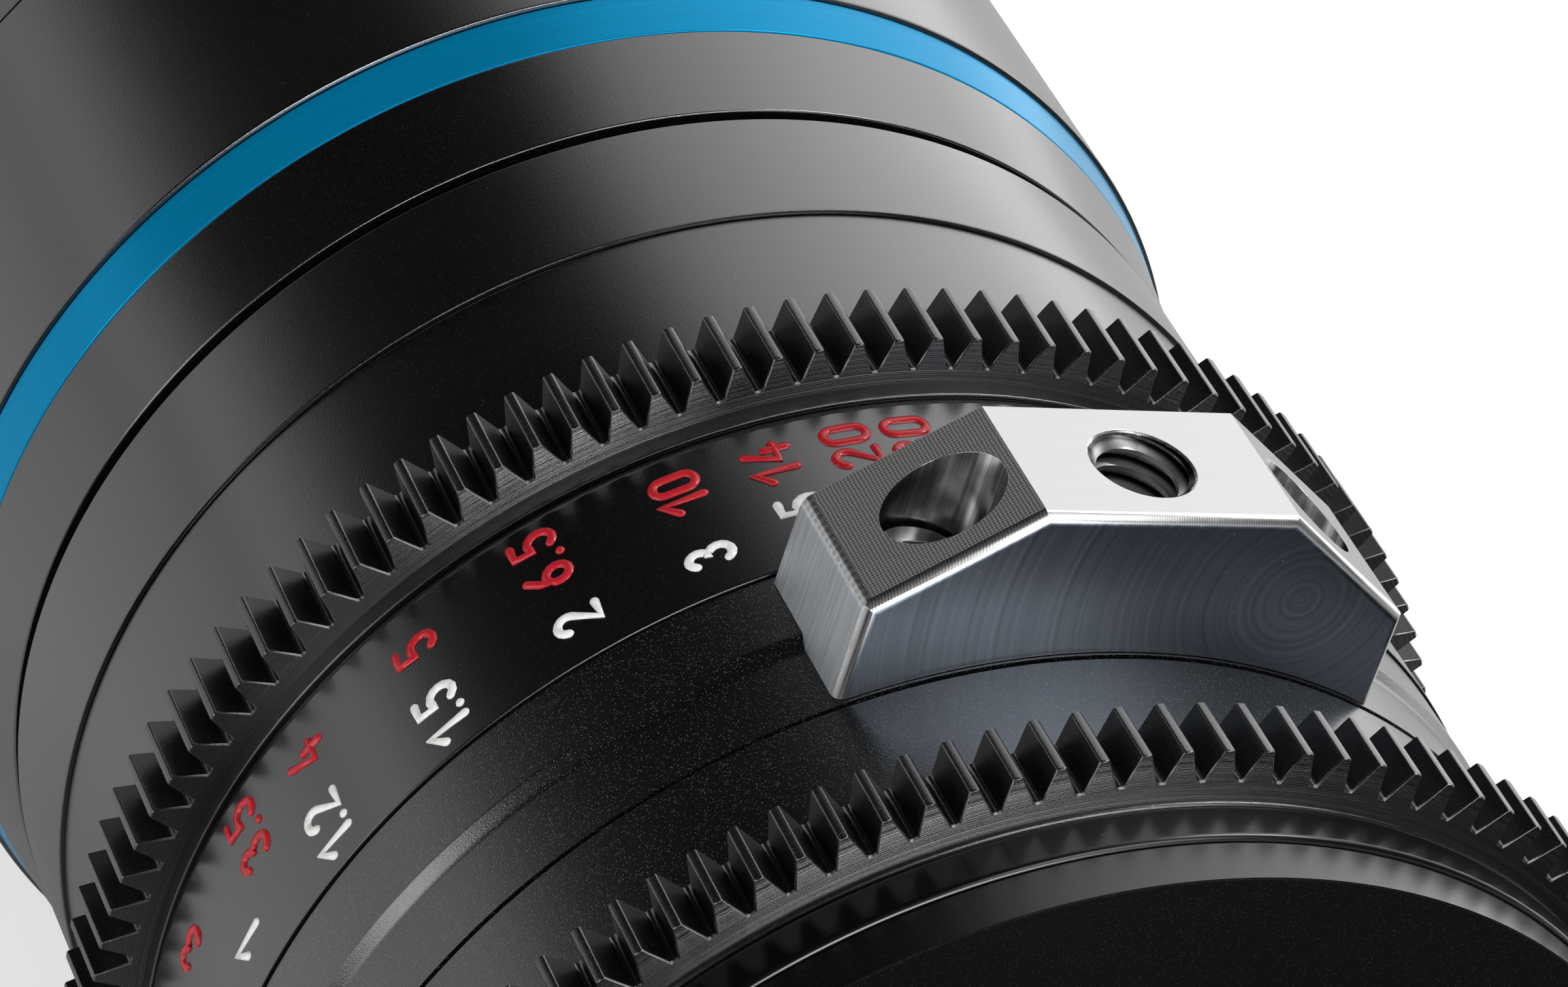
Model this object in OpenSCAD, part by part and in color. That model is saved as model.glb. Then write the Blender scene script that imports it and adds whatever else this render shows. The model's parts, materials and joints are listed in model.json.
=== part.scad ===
// Cinema prime lens: geared focus and aperture rings round a fixed barrel, with a support foot.
// The optical axis is Y, the front of the lens points to +Y and the foot points to +Z.
// The origin is the centre of the mount's seating face. Sizes are in millimetres.

/* [Main sizes] */
// Diameter of the barrel, measured at the aperture ring
barrel_d = 82; // [76:0.2:90]
// Diameter of the mount plate between its lugs
mount_plate_d = 62.4; // [58:0.2:66]

/* [Camera mount] */
// Width of the plate's face outside the register tube
mount_land = 4.2; // [3.6:0.1:5]
// Length of the register tube behind the seating face
register_len = 9; // [6:0.5:14]
// Wall of the register tube
register_wall = 2; // [1.2:0.1:2.2]
// Thickness of the mount plate
mount_plate_t = 4; // [3:0.25:6]
// How far a lug reaches past the plate's edge
lug_reach = 2.3; // [1.5:0.1:4]
// Number of lugs on the mount plate
lug_count = 4; // [3:1:4]
// Angle that one lug covers
lug_arc = 46; // [30:1:60]
// Width of the locating notch in one lug
notch_w = 3; // [2:0.25:5]
// Thickness of the focus shim under the mount plate
shim_t = 0.25; // [0.1:0.05:0.6]
// Number of mount screws
mount_screw_count = 6; // [4:1:8]
// Thread diameter of a mount screw
mount_screw_d = 1.8; // [1.4:0.1:2]
// Head diameter of a mount screw
mount_head_d = 3; // [2.6:0.1:3.2]
// Depth of a mount screw's head
mount_head_h = 1.2; // [0.8:0.1:2]
// Length of a mount screw below its head
mount_screw_len = 7.5; // [5:0.5:9]

/* [Rear housing] */
// Length of the neck between the shim and the rear face
neck_len = 9.65; // [8:0.25:14]
// Step from the plate's edge in to the neck
neck_step = 0.2; // [0.1:0.1:0.4]
// Width of the satin band at the rear edge
rear_band_w = 3.1; // [2:0.1:5]
// Chamfer on the band's rear edge
rear_band_chamfer = 0.1; // [0.1:0.1:1]
// Width of the gloss trim ring behind the aperture gear
trim_ring_w = 2.8; // [2:0.1:4]
// How far the trim ring stands above the barrel
trim_ring_rise = 0.35; // [0:0.05:1]
// Wall of the tube that the aperture ring turns on
rear_tube_wall = 1.75; // [1.4:0.05:2]
// Overlap of that tube inside the middle barrel
tube_overlap = 4; // [2:0.25:6]

/* [Aperture ring] */
// Width of the aperture ring
aperture_w = 13.7; // [13:0.1:17]
// Wall of the rings that slide over the tubes inside
ring_wall = 1.45; // [1.2:0.05:2]
// Width of the aperture gear's teeth
aperture_gear_w = 4.4; // [3:0.1:6]
// Width of the hub rim behind the teeth
gear_rim = 0.4; // [0.2:0.1:0.8]
// How far that rim stands above the barrel
gear_rim_rise = 0.3; // [0.1:0.05:1]
// Turn of the aperture ring between its stops, in degrees
aperture_turn = 50; // [40:1:54]
// Distance of the aperture drive pin from the ring's rear edge
drive_pin_z = 8.35; // [8.2:0.05:8.6]

/* [Drive gears] */
// Number of teeth on each ring
gear_teeth = 110; // [90:1:120]
// How far the tooth roots stand above the barrel
tooth_root_rise = 1.6; // [1.2:0.1:2.4]
// Height of a tooth
tooth_h = 2.15; // [1.5:0.05:2.5]
// Width of a tooth's flat tip
tooth_tip_w = 0.6; // [0.3:0.05:0.8]
// Width of the gap's floor between two teeth
tooth_floor_w = 0.45; // [0.3:0.05:0.8]

/* [Middle barrel] */
// How far its front half stands above the barrel
mid_front_rise = 0.6; // [0.3:0.1:1]
// How far its rear half stands above the barrel
mid_rear_rise = 0.1; // [0:0.05:0.5]
// Distance from its rear face to the step between the halves
mid_step = 5.1; // [4:0.1:6]
// Width of the bevel at that step
mid_bevel_w = 0.9; // [0.5:0.1:1.2]
// Diameter of the three barrel set screws
set_screw_d = 2.5; // [2:0.1:3]

/* [Support foot] */
// Height of the foot's flat top above the middle barrel
foot_rise = 8.95; // [8:0.05:12]
// Width over the side faces
foot_w = 34.76; // [32:0.1:40]
// Width of one sloping shoulder
foot_shoulder_w = 9.28; // [8:0.1:10.5]
// Slope of the two shoulders, in degrees
foot_slope = 36; // [30:0.5:38]
// Length along the optical axis
foot_len = 10.5; // [9:0.1:13]
// Distance of the foot's rear face from the middle barrel's rear face
foot_rear_gap = 0.2; // [0.1:0.05:0.3]
// Distance of the foot's front face from the middle barrel's front face
foot_front_gap = 0.5; // [0.3:0.05:1]
// Bevel along the rear edges
foot_bevel = 0.7; // [0.3:0.05:1]
// Diameter of the threaded hole in the flat top
foot_hole_d = 6.35; // [5:0.05:8]
// Depth of the threaded hole
foot_hole_depth = 7.8; // [6:0.1:8.2]
// Countersink at its mouth
foot_hole_sink = 0.45; // [0.2:0.05:0.8]
// Distance of each screw from the foot's side face
foot_screw_in = 5.58; // [5:0.02:6]
// Diameter of the screw's counterbore
foot_counterbore_d = 6.3; // [6:0.1:6.8]
// Height of the counterbore's floor above the middle barrel
foot_seat_rise = 0.3; // [0.2:0.1:1.5]
// Diameter of the foot screw's head
foot_head_d = 5.5; // [5:0.1:5.8]
// Height of the foot screw's head
foot_head_h = 2; // [1.6:0.1:3.4]
// Thread diameter of the foot screw
foot_screw_d = 3; // [2.5:0.1:3.4]
// Length of the foot screw's thread below its head
foot_screw_len = 4.7; // [4:0.1:5.6]
// Across flats of the foot screw's hex socket
foot_socket = 2.5; // [2:0.1:3]

/* [Focus ring] */
// Width of the scale drum
drum_w = 13.3; // [11:0.1:18]
// How far the scale drum stands above the barrel
drum_rise = 0.8; // [0.4:0.05:1.2]
// Bevel on the scale drum's front edge
drum_bevel = 0.45; // [0.2:0.05:1]
// Gap between the scale drum and the gear's hub
drum_gap = 0.25; // [0.1:0.05:0.5]
// Width of the hub behind the focus gear's teeth
focus_hub_w = 1.2; // [0.8:0.1:2]
// How far that hub stands above the barrel
focus_hub_rise = 0.55; // [0.2:0.05:1]
// Width of the focus gear's teeth
focus_gear_w = 5.4; // [4:0.1:8]
// Width of the plain ring in front of the gear
grip_w = 12.9; // [10:0.1:16]
// How far that ring stands above the barrel
grip_rise = 0.25; // [0:0.05:1]
// Width of the front collar
collar_w = 10.3; // [8:0.1:14]
// How far the front collar stands above the barrel
collar_rise = 0.55; // [0:0.05:1]
// Wall of the carrier tube under these rings
carrier_wall = 1.45; // [1.2:0.05:1.8]
// Turn from the photographed setting to the far stop, in degrees
focus_far = 88; // [60:1:90]
// Turn from the photographed setting to the near stop, in degrees
focus_near = 15; // [5:1:18]
// Travel of the focus group for one full turn
focus_lead = 21; // [12:0.5:24]

/* [Focus drive] */
// Wall of the guide tube
guide_wall = 2; // [1.5:0.05:2.3]
// Wall of the cam sleeve
cam_wall = 1.95; // [1.5:0.05:2.2]
// Diameter of a cam roller
roller_d = 4; // [3:0.1:4.5]
// Number of cam rollers
roller_count = 3; // [2:1:3]
// Distance of the rollers from the scale drum's rear edge
roller_z = 20.7; // [17:0.1:24]
// Thickness of a thrust washer
washer_t = 0.5; // [0.3:0.05:0.8]
// Width of the threaded ring that keeps the cam sleeve in place
keeper_w = 2; // [1.5:0.1:2.3]

/* [Front barrel] */
// Width of the open groove in front of the focus ring
groove_w = 1; // [0.6:0.1:2]
// Length of the taper behind the accent ring
taper_len = 7.55; // [6:0.05:10]
// How far the taper's rear edge stands above the barrel
taper_rear_rise = 0.5; // [0:0.05:1]
// How far the taper's front edge stands above the barrel
taper_front_rise = 1.6; // [1:0.05:2.2]
// Width of the coloured accent ring
accent_w = 3.6; // [2:0.1:6]
// How far the accent ring's front edge stands above the barrel
accent_rise = 2.3; // [1.6:0.05:3]
// How far the front barrel stands above the barrel behind it
front_rise = 2.6; // [2:0.05:5]
// Wall of the front barrel round the front cell
front_wall = 4.1; // [3.4:0.1:5]
// Length of the front barrel's full-width part
front_len = 27.1; // [26:0.1:34]
// Length of the filter ring
filter_ring_len = 10; // [8:0.1:14]
// Wall of the filter ring outside its thread
filter_wall = 3; // [2:0.1:4]
// Length of the filter thread
filter_thread_len = 7; // [4:0.1:7.5]

/* [Glass] */
// Wall of the front cell round the front element
glass_1_wall = 5.5; // [4:0.1:7]
// Wall of the front cell's tube round the second element
glass_2_wall = 4.8; // [3:0.1:6]
// Step from the second element in to the third
glass_3_step = 2; // [1.6:0.1:4]
// Wall of the carriage round the focusing doublet
glass_4_wall = 8.95; // [8:0.05:10]
// Step from the doublet in to the focusing rear element
glass_6_step = 2; // [1.6:0.1:4]
// Wall of the rear cell round the inner rear element
glass_7_wall = 3.95; // [3:0.05:5]
// Step from the inner rear element in to the outer one
glass_8_step = 2; // [1.6:0.1:4]

/* [Iris] */
// Number of blades
blade_count = 9; // [7:1:9]
// Distance of the blade pivots from the iris housing's outside
pivot_inset = 9.75; // [9.4:0.05:10]
// Distance from a blade's pivot in to the open aperture's edge
pivot_rise = 9.7; // [9.4:0.05:10]
// Thickness of a blade
blade_t = 0.15; // [0.1:0.01:0.2]
// Distance from one blade to the next along the axis
blade_pitch = 0.3; // [0.25:0.01:0.32]
// Width of a blade's curved band
blade_w = 7.3; // [7:0.1:7.6]
// Turn of a blade between the stops, in degrees
blade_turn = 30.5; // [26:0.5:31]
// Diameter of a blade's pivot pin
pivot_pin_d = 1.2; // [0.8:0.05:1.4]
// Diameter of a blade's drive pin
drive_pin_d = 1; // [0.8:0.05:1.1]
// Length of a blade's lever
lever_len = 5.8; // [5.4:0.1:6]
// Angle of the lever to the radius with the iris open
lever_angle = 43; // [40:1:46]
// Diameter of the pin between the aperture ring and the iris drive ring
ring_pin_d = 2; // [1.4:0.1:2.2]

/* [Fits] */
// Radial clearance of sliding and turning fits
fit = 0.05; // [0.03:0.01:0.08]
// Clearance of a pin in a curved slot
slot_fit = 0.12; // [0.08:0.01:0.16]
// End play between a turning ring and a fixed face
end_play = 0.15; // [0.1:0.01:0.2]
// Joint between two fixed pieces
joint = 0.05; // [0.03:0.01:0.1]

/* [Hidden] */
$fn = 180;

// Overlap that a cutting solid reaches past the face it cuts
cut = 1;
// Angle of the foot about the axis, before the model is turned along it
to_foot = -90;

// Colours of the finishes
black_anodised = "#1b1c1e";
black_gloss = "#0b0b0d";
black_matt = "#141416";
bare_aluminium = "#c9ccd0";
steel = "#b9bcc0";
brass = "#b8974e";
accent_blue = "#0a93cc";
coated_glass = "#9fb6c4";
polymer = "#e8e6df";

// Stations along the axis, counted forward from the mount's seating face
z_neck = mount_plate_t + shim_t;
z_rear = z_neck + neck_len;
z_trim = z_rear + rear_band_w + 2 * joint;
z_aperture = z_trim + trim_ring_w + end_play;
z_mid = z_aperture + aperture_w + end_play;
mid_w = foot_rear_gap + foot_len + foot_front_gap;
z_drum = z_mid + mid_w + end_play;
z_focus_hub = z_drum + drum_w + drum_gap;
z_focus_gear = z_focus_hub + focus_hub_w;
z_grip = z_focus_gear + focus_gear_w + joint;
z_collar = z_grip + grip_w + joint;
z_collar_end = z_collar + collar_w;
z_taper = z_collar_end + groove_w;
z_accent = z_taper + taper_len + joint;
z_front = z_accent + accent_w + joint;
z_filter = z_front + front_len;
z_end = z_filter + filter_ring_len;

// Radii of the nested tubes, from the outside of the barrel inwards
barrel_r = barrel_d / 2;
sleeve_in_r = barrel_r - ring_wall;
carrier_out_r = sleeve_in_r - fit;
carrier_in_r = carrier_out_r - carrier_wall;
cam_out_r = carrier_in_r - fit;
cam_in_r = cam_out_r - cam_wall;
guide_out_r = cam_in_r - fit;
guide_r = guide_out_r - guide_wall;
tube_in_r = guide_out_r + fit;
tube_out_r = tube_in_r + rear_tube_wall;
aperture_in_r = tube_out_r + fit;

// Radii of the rings that show, from the barrel outwards
trim_ring_r = barrel_r + trim_ring_rise;
gear_rim_r = barrel_r + gear_rim_rise;
root_r = barrel_r + tooth_root_rise;
tip_r = root_r + tooth_h;
mid_rear_r = barrel_r + mid_rear_rise;
mid_front_r = barrel_r + mid_front_rise;
drum_r = barrel_r + drum_rise;
focus_hub_r = barrel_r + focus_hub_rise;
grip_r = barrel_r + grip_rise;
collar_r = barrel_r + collar_rise;
taper_rear_r = barrel_r + taper_rear_rise;
taper_front_r = barrel_r + taper_front_rise;
accent_r = barrel_r + accent_rise;
accent_in_r = taper_front_r - 1.2;
front_r = barrel_r + front_rise;
filter_bore_r = front_r - filter_wall;

// Radii of the camera mount
mount_plate_r = mount_plate_d / 2;
lug_r = mount_plate_r + lug_reach;
neck_r = mount_plate_r - neck_step;
register_r = mount_plate_r - mount_land;
register_in_r = register_r - register_wall;
mount_screw_r = (register_r + mount_plate_r) / 2 - 0.1;
// Step from a lug's front face back to the plate's
lug_relief = 0.8;
// How far a screw's head lies under the seating face
screw_sunk = 0.1;
// Width and depth of a mount screw's driver slot
head_slot_w = 0.4;
head_slot_h = 0.7;

// Front cell: its flange sits in the front barrel, its rear tube in the guide tube
cell_lip = 1.5;
cell_flange_r = front_r - front_wall;
cell_tube_r = guide_r - 0.2;
hub_len = 4.9;
hub_out_r = guide_out_r + 3.9;
web_t = 3;
z_hub = z_taper + 2.4;
z_guide_end = z_hub + hub_len;
z_cell_flange = z_guide_end + web_t;

// Curve radii of the elements: positive bulges outwards, negative is hollow
curve_1 = [-300, 95];
curve_2 = [-150, 70];
curve_3 = [-60, -120];
curve_4 = [110, 80];
curve_5 = [-90, -110];
curve_6 = [250, 100];
curve_7 = [120, 80];
curve_8 = [-200, -60];
// Edge thicknesses of the elements
edge_1 = 3.6;
edge_2 = 6;
edge_3 = 12.9;
edge_4 = 1.6;
edge_5 = 9.2;
edge_6 = 1.4;
edge_7 = 1.9;
edge_8 = 7.4;
glass_fit = 0.05;
// Facets round a ground glass surface
glass_facets = 400;
air = 0.05;

function sag(curve, r) = sign(curve) * (abs(curve) - sqrt(curve * curve - r * r));

// How far a surface stands out at a smaller radius, seen from its edge
function bulge(curve, edge_r, r) = sag(curve, edge_r) - sag(curve, r);

// Front group, placed from the front cell's flange
r_1 = cell_flange_r - glass_1_wall;
r_2 = cell_tube_r - glass_2_wall;
r_3 = r_2 - glass_3_step;
z_2 = z_cell_flange - 1.4;
z_2_front = z_2 + edge_2;
z_keep_2 = z_2_front + bulge(curve_2[1], r_2, r_2 - cell_lip) + air;
keep_2_w = 2.6;
z_1 = z_keep_2 + keep_2_w + 4;
z_1_front = z_1 + edge_1;
z_keep_1 = z_1_front + bulge(curve_1[1], r_1, r_1 - cell_lip) + air;
spacer_w = 1.6;
z_3_front = z_2 - spacer_w - air;
z_3 = z_3_front - edge_3;
z_cell_rear = z_3 - 0.6;
z_cell_front = z_keep_1 + 3.4;

// Focus group, placed from the cam rollers
carriage_r = guide_r - fit;
r_4 = carriage_r - glass_4_wall;
r_6 = r_4 - glass_6_step;
z_roller = z_drum + roller_z;
z_carriage = z_roller - 10;
carriage_len = 24;
z_carriage_front = z_carriage + carriage_len;
rear_keep_w = 1.5;
z_6 = z_carriage + rear_keep_w + bulge(curve_6[0], r_6, r_6 - cell_lip) + air;
z_6_front = z_6 + edge_6;
z_6_seat = z_6_front + bulge(curve_6[1], r_6, r_6 - cell_lip) + air;
z_5 = z_6_seat + 2.4;
z_5_front = z_5 + edge_5;
z_4 = z_5_front + air;
z_4_front = z_4 + edge_4;
z_keep_4 = z_4_front + bulge(curve_4[1], r_4, r_4 - cell_lip) + air;
keep_4_w = 2.5;
relief_r = carriage_r - 3;
land_w = 3;
roller_land = roller_d + 3.5;
roller_out_r = cam_out_r - 0.4;
roller_in_r = r_4 + 4;
near_travel = focus_lead * focus_near / 360;
far_travel = focus_lead * focus_far / 360;

// Rear group, placed from the mount plate
rear_bore_r = register_in_r + 1;
rear_cell_r = rear_bore_r - joint;
r_7 = rear_cell_r - glass_7_wall;
r_8 = r_7 - glass_8_step;
rear_keep_w8 = 2.4;
z_rear_cell = 1.5;
z_8 = z_rear_cell + rear_keep_w8 + air;
z_8_front = z_8 + edge_8;
z_7_seat = z_8_front + 2;
z_7 = z_7_seat + bulge(curve_7[0], r_7, r_8 - cell_lip) + air;
z_7_front = z_7 + edge_7;
z_rear_cell_front = z_7_front + 2;
baffle_t = 1.5;
baffle_r = register_in_r + 0.6;

// Iris stack, placed from the rear housing's shoulder
z_shoulder = z_rear + 8.1;
iris_out_r = tube_in_r - 2 * fit;
pivot_r = iris_out_r - pivot_inset;
iris_r = pivot_r - pivot_rise;
iris_base_t = 1.5;
z_blades = z_shoulder + iris_base_t + 0.25;
drive_ring_t = 3;
z_ring_pin = z_aperture + drive_pin_z;
z_drive_ring = z_ring_pin - drive_ring_t / 2;
z_rim = z_drive_ring + drive_ring_t + 0.2;
iris_cover_t = 1;
z_cover = z_rim + joint;
z_guide = z_cover + iris_cover_t + joint;
drive_ring_out_r = iris_out_r - 1.75;
rim_in_r = drive_ring_out_r + 2 * fit;
ledge_in_r = rim_in_r - 1.1;
drive_ring_in_r = pivot_r - 0.2;
blade_in_r = iris_r + 0.4;
blade_from = -12;
blade_to = 105;
blade_open = 0.5;
blade_ratio = blade_turn / aperture_turn;
pivot_boss_r = 1.6;
tab_w = 2.6;
lever_boss_r = 1.1;
lever_w = 1.7;
aperture_rest = aperture_turn / 2;
slot_steps = 12;

// Turns a solid modelled along Z so that it lies along the optical axis, with -Y turned up to the foot
module along_axis() {
    rotate([-90, 0, 0]) children();
}

// A ring or tube between two stations
module tube(z0, z1, r_in, r_out) {
    translate([0, 0, z0]) difference() {
        cylinder(r = r_out, h = z1 - z0);
        translate([0, 0, -cut]) cylinder(r = r_in, h = z1 - z0 + 2 * cut);
    }
}

// A solid disc or rod between two stations
module disc(z0, z1, r) {
    translate([0, 0, z0]) cylinder(r = r, h = z1 - z0);
}

// A cone between two stations
module cone(z0, z1, r0, r1) {
    translate([0, 0, z0]) cylinder(r1 = r0, r2 = r1, h = z1 - z0);
}

// A rod that stands out from the axis towards the foot, at a station and an angle from the foot
module spoke(z, angle, r0, r1, r) {
    rotate([0, 0, angle]) translate([0, 0, z]) rotate([90, 0, 0]) disc(r0, r1, r);
}

// A slot that runs part of the way round a tube
module ring_slot(z0, z1, r0, r1, angle, half_turn) {
    rotate([0, 0, angle + to_foot - half_turn]) rotate_extrude(angle = 2 * half_turn)
        translate([r0, z0]) square([r1 - r0, z1 - z0]);
}

// A toothed ring, with a tooth at the given angle from the foot
module gear_teeth_ring(z0, width, r_in, tooth_at) {
    pitch = 360 / gear_teeth;
    tip_half = asin(tooth_tip_w / 2 / tip_r);
    root_half = pitch / 2 - asin(tooth_floor_w / 2 / root_r);
    first = tooth_at + to_foot;
    outline = [for (i = [0:gear_teeth - 1]) each [
        root_r * dir(i * pitch + first - root_half),
        tip_r * dir(i * pitch + first - tip_half),
        tip_r * dir(i * pitch + first + tip_half),
        root_r * dir(i * pitch + first + root_half)]];
    difference() {
        translate([0, 0, z0]) linear_extrude(width) polygon(outline);
        disc(z0 - cut, z0 + width + cut, r_in);
    }
}

function dir(angle) = [cos(angle), sin(angle)];

// A ball whose surface touches the axis at a station
module ball(centre, r) {
    translate([0, 0, centre]) sphere(r = r, $fn = glass_facets);
}

// A lens element between two edge stations, with a curve at the rear and one at the front
module element(z0, z1, r, curves) {
    rear_vertex = z0 - sag(curves[0], r);
    front_vertex = z1 + sag(curves[1], r);
    rear_centre = rear_vertex + curves[0];
    front_centre = front_vertex - curves[1];
    difference() {
        intersection() {
            disc(min(z0, rear_vertex), max(z1, front_vertex), r);
            if (curves[0] > 0) ball(rear_centre, curves[0]);
            if (curves[1] > 0) ball(front_centre, curves[1]);
        }
        if (curves[0] < 0) ball(rear_centre, -curves[0]);
        if (curves[1] < 0) ball(front_centre, -curves[1]);
    }
}

// Camera mount

module mount_screw_holes(z0, z1, r) {
    for (i = [0:mount_screw_count - 1])
        rotate([0, 0, i * 360 / mount_screw_count]) translate([0, -mount_screw_r, 0]) disc(z0, z1, r);
}

module mount_flange() {
    lug_step = 360 / lug_count;
    color(steel) along_axis() difference() {
        union() {
            disc(0, mount_plate_t, mount_plate_r);
            disc(-register_len, cut, register_r);
            for (i = [0:lug_count - 1])
                ring_slot(0, mount_plate_t - lug_relief, register_r, lug_r,
                    (i + 1 / 2) * lug_step, lug_arc / 2);
        }
        disc(-register_len - cut, mount_plate_t + cut, register_in_r);
        mount_screw_holes(-cut, mount_head_h, mount_head_d / 2 + fit);
        mount_screw_holes(0, mount_plate_t + cut, mount_screw_d / 2 + fit);
        rotate([0, 0, lug_step / 2]) translate([-notch_w / 2, -lug_r - cut, -cut])
            cube([notch_w, lug_reach + cut - 0.3, mount_plate_t + 2 * cut]);
        disc(-register_len - cut, -register_len + baffle_t, baffle_r);
    }
}

module mount_shim() {
    color(brass) along_axis() difference() {
        tube(mount_plate_t + joint / 2, z_neck - joint / 2, rear_bore_r + 0.3, neck_r - 0.2);
        mount_screw_holes(0, z_rear, mount_screw_d / 2 + 2 * fit);
    }
}

module mount_screws() {
    color(steel) along_axis() difference() {
        union() {
            mount_screw_holes(screw_sunk, mount_head_h - joint, mount_head_d / 2);
            mount_screw_holes(screw_sunk, mount_head_h + mount_screw_len, mount_screw_d / 2);
        }
        for (i = [0:mount_screw_count - 1])
            rotate([0, 0, i * 360 / mount_screw_count])
                translate([-mount_head_d / 3, -mount_screw_r - head_slot_w / 2, 0])
                    cube([mount_head_d * 2 / 3, head_slot_w, head_slot_h]);
    }
}

// Rear housing

module rear_housing() {
    tube_end = z_mid + tube_overlap;
    color(black_anodised) along_axis() difference() {
        union() {
            disc(z_neck, z_rear + cut, neck_r);
            cone(z_rear, z_rear + rear_band_chamfer, barrel_r - rear_band_chamfer, barrel_r);
            disc(z_rear + rear_band_chamfer, z_rear + rear_band_w, barrel_r);
            disc(z_rear, tube_end, tube_out_r);
        }
        disc(z_neck - cut, z_shoulder + cut, rear_bore_r);
        disc(z_shoulder, tube_end + cut, tube_in_r);
        tube(z_rear + rear_band_w, z_shoulder + cut, rear_bore_r + 3, tube_in_r - 1.5);
        mount_screw_holes(0, mount_head_h + mount_screw_len + 0.5, mount_screw_d / 2 + fit);
        drive_pin_slot(tube_in_r - cut, tube_out_r + cut);
    }
}

// The arc that the aperture drive pin sweeps
module drive_pin_slot(r0, r1) {
    half_w = ring_pin_d / 2 + slot_fit;
    half_turn = aperture_turn / 2 + asin((half_w + slot_fit) / r0);
    ring_slot(z_ring_pin - half_w, z_ring_pin + half_w, r0, r1, 180, half_turn);
}

module rear_trim_ring() {
    trim_end = z_trim + trim_ring_w;
    color(black_gloss) along_axis() difference() {
        disc(z_trim, trim_end, trim_ring_r);
        disc(z_trim - cut, trim_end + cut, tube_out_r + joint);
    }
}

module rear_cell() {
    color(black_matt) along_axis() difference() {
        union() {
            disc(z_rear_cell, z_neck, register_in_r - joint);
            disc(z_neck, z_rear_cell_front, rear_cell_r);
        }
        disc(z_rear_cell - cut, z_8_front + joint, r_8 + glass_fit);
        disc(z_8_front, z_7, r_8 - cell_lip);
        disc(z_7_seat, z_rear_cell_front + cut, r_7 + glass_fit);
    }
}

module rear_element_inner() {
    color(coated_glass) along_axis() element(z_7, z_7_front, r_7, curve_7);
}

module rear_element_outer() {
    color(coated_glass) along_axis() element(z_8, z_8_front, r_8, curve_8);
}

module rear_retaining_ring() {
    color(black_matt) along_axis() tube(z_rear_cell, z_8 - air, r_8 - cell_lip, r_8);
}

module rear_baffle() {
    color(black_matt) along_axis()
        tube(-register_len, -register_len + baffle_t - joint, r_8 - cell_lip, baffle_r - joint);
}

// Fixed tubes

function roller_angle(i) = 60 + i * 360 / roller_count;

module guide_tube() {
    slot_lo = z_roller - far_travel - roller_d / 2 - 0.3;
    slot_hi = z_roller + near_travel + roller_d / 2 + 0.3;
    slot_w = roller_d + 2 * fit;
    color(bare_aluminium) along_axis() difference() {
        tube(z_guide, z_guide_end, guide_r, guide_out_r);
        for (i = [0:roller_count - 1])
            rotate([0, 0, roller_angle(i)])
                translate([-slot_w / 2, -guide_out_r - cut, slot_lo])
                    cube([slot_w, guide_wall + 3 * cut, slot_hi - slot_lo]);
    }
}

// Outside shape of the middle barrel, grown by a clearance
module mid_outline(clear) {
    step = z_mid + mid_step;
    disc(z_mid, step, mid_rear_r + clear);
    cone(step, step + mid_bevel_w, mid_rear_r + clear, mid_front_r + clear);
    disc(step + mid_bevel_w, z_mid + mid_w, mid_front_r + clear);
}

module mid_barrel() {
    color(black_anodised) along_axis() difference() {
        mid_outline(0);
        disc(z_mid - cut, z_mid + tube_overlap + joint, tube_out_r + joint);
        disc(z_mid, z_mid + mid_w + cut, guide_out_r + joint);
        for (side = [-1, 1])
            foot_rod(side, foot_seat - foot_screw_len - 0.2, foot_seat + cut, foot_screw_d / 2 + fit);
        set_screw_rods(tube_out_r, mid_front_r + cut, set_screw_d / 2 + fit);
    }
}

module set_screw_rods(r0, r1, r) {
    for (i = [1:3])
        spoke(z_mid + tube_overlap / 2, 60 + i * 60, r0, r1, r);
}

module barrel_set_screws() {
    screw_out_r = mid_rear_r - 0.3;
    color(steel) along_axis() difference() {
        set_screw_rods(tube_out_r + 2 * joint, screw_out_r, set_screw_d / 2);
        set_screw_rods(screw_out_r - 1, screw_out_r + cut, set_screw_d / 4);
    }
}

// Support foot

foot_z = z_mid + foot_rear_gap;
foot_mid_z = foot_z + foot_len / 2;
foot_top = mid_front_r + foot_rise;
foot_top_w = foot_w - 2 * foot_shoulder_w;
foot_shoulder = foot_top - foot_shoulder_w * tan(foot_slope);
foot_seat = mid_front_r + foot_seat_rise;
foot_screw_x = foot_w / 2 - foot_screw_in;

// A vertical rod through the foot, on one side of the middle
module foot_rod(side, h0, h1, r) {
    translate([side * foot_screw_x, 0, foot_mid_z]) rotate([90, 0, 0]) disc(h0, h1, r);
}

module foot_block(grow) {
    base = mid_rear_r * 3 / 4;
    linear_extrude(grow) polygon([
        [-foot_w / 2, -base], [-foot_w / 2, -foot_shoulder], [-foot_top_w / 2, -foot_top],
        [foot_top_w / 2, -foot_top], [foot_w / 2, -foot_shoulder], [foot_w / 2, -base]]);
}

// Cuts the bevel along the rear edges of the top, the shoulders and the sides
module foot_bevels() {
    reach = foot_w;
    bevel_cut([0, -foot_top], 0, reach);
    bevel_cut([foot_w / 2, -foot_shoulder], foot_slope, reach);
    bevel_cut([-foot_w / 2, -foot_shoulder], -foot_slope, reach);
    bevel_cut([foot_w / 2, -foot_shoulder], 90, reach);
    bevel_cut([-foot_w / 2, -foot_shoulder], -90, reach);
}

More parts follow.
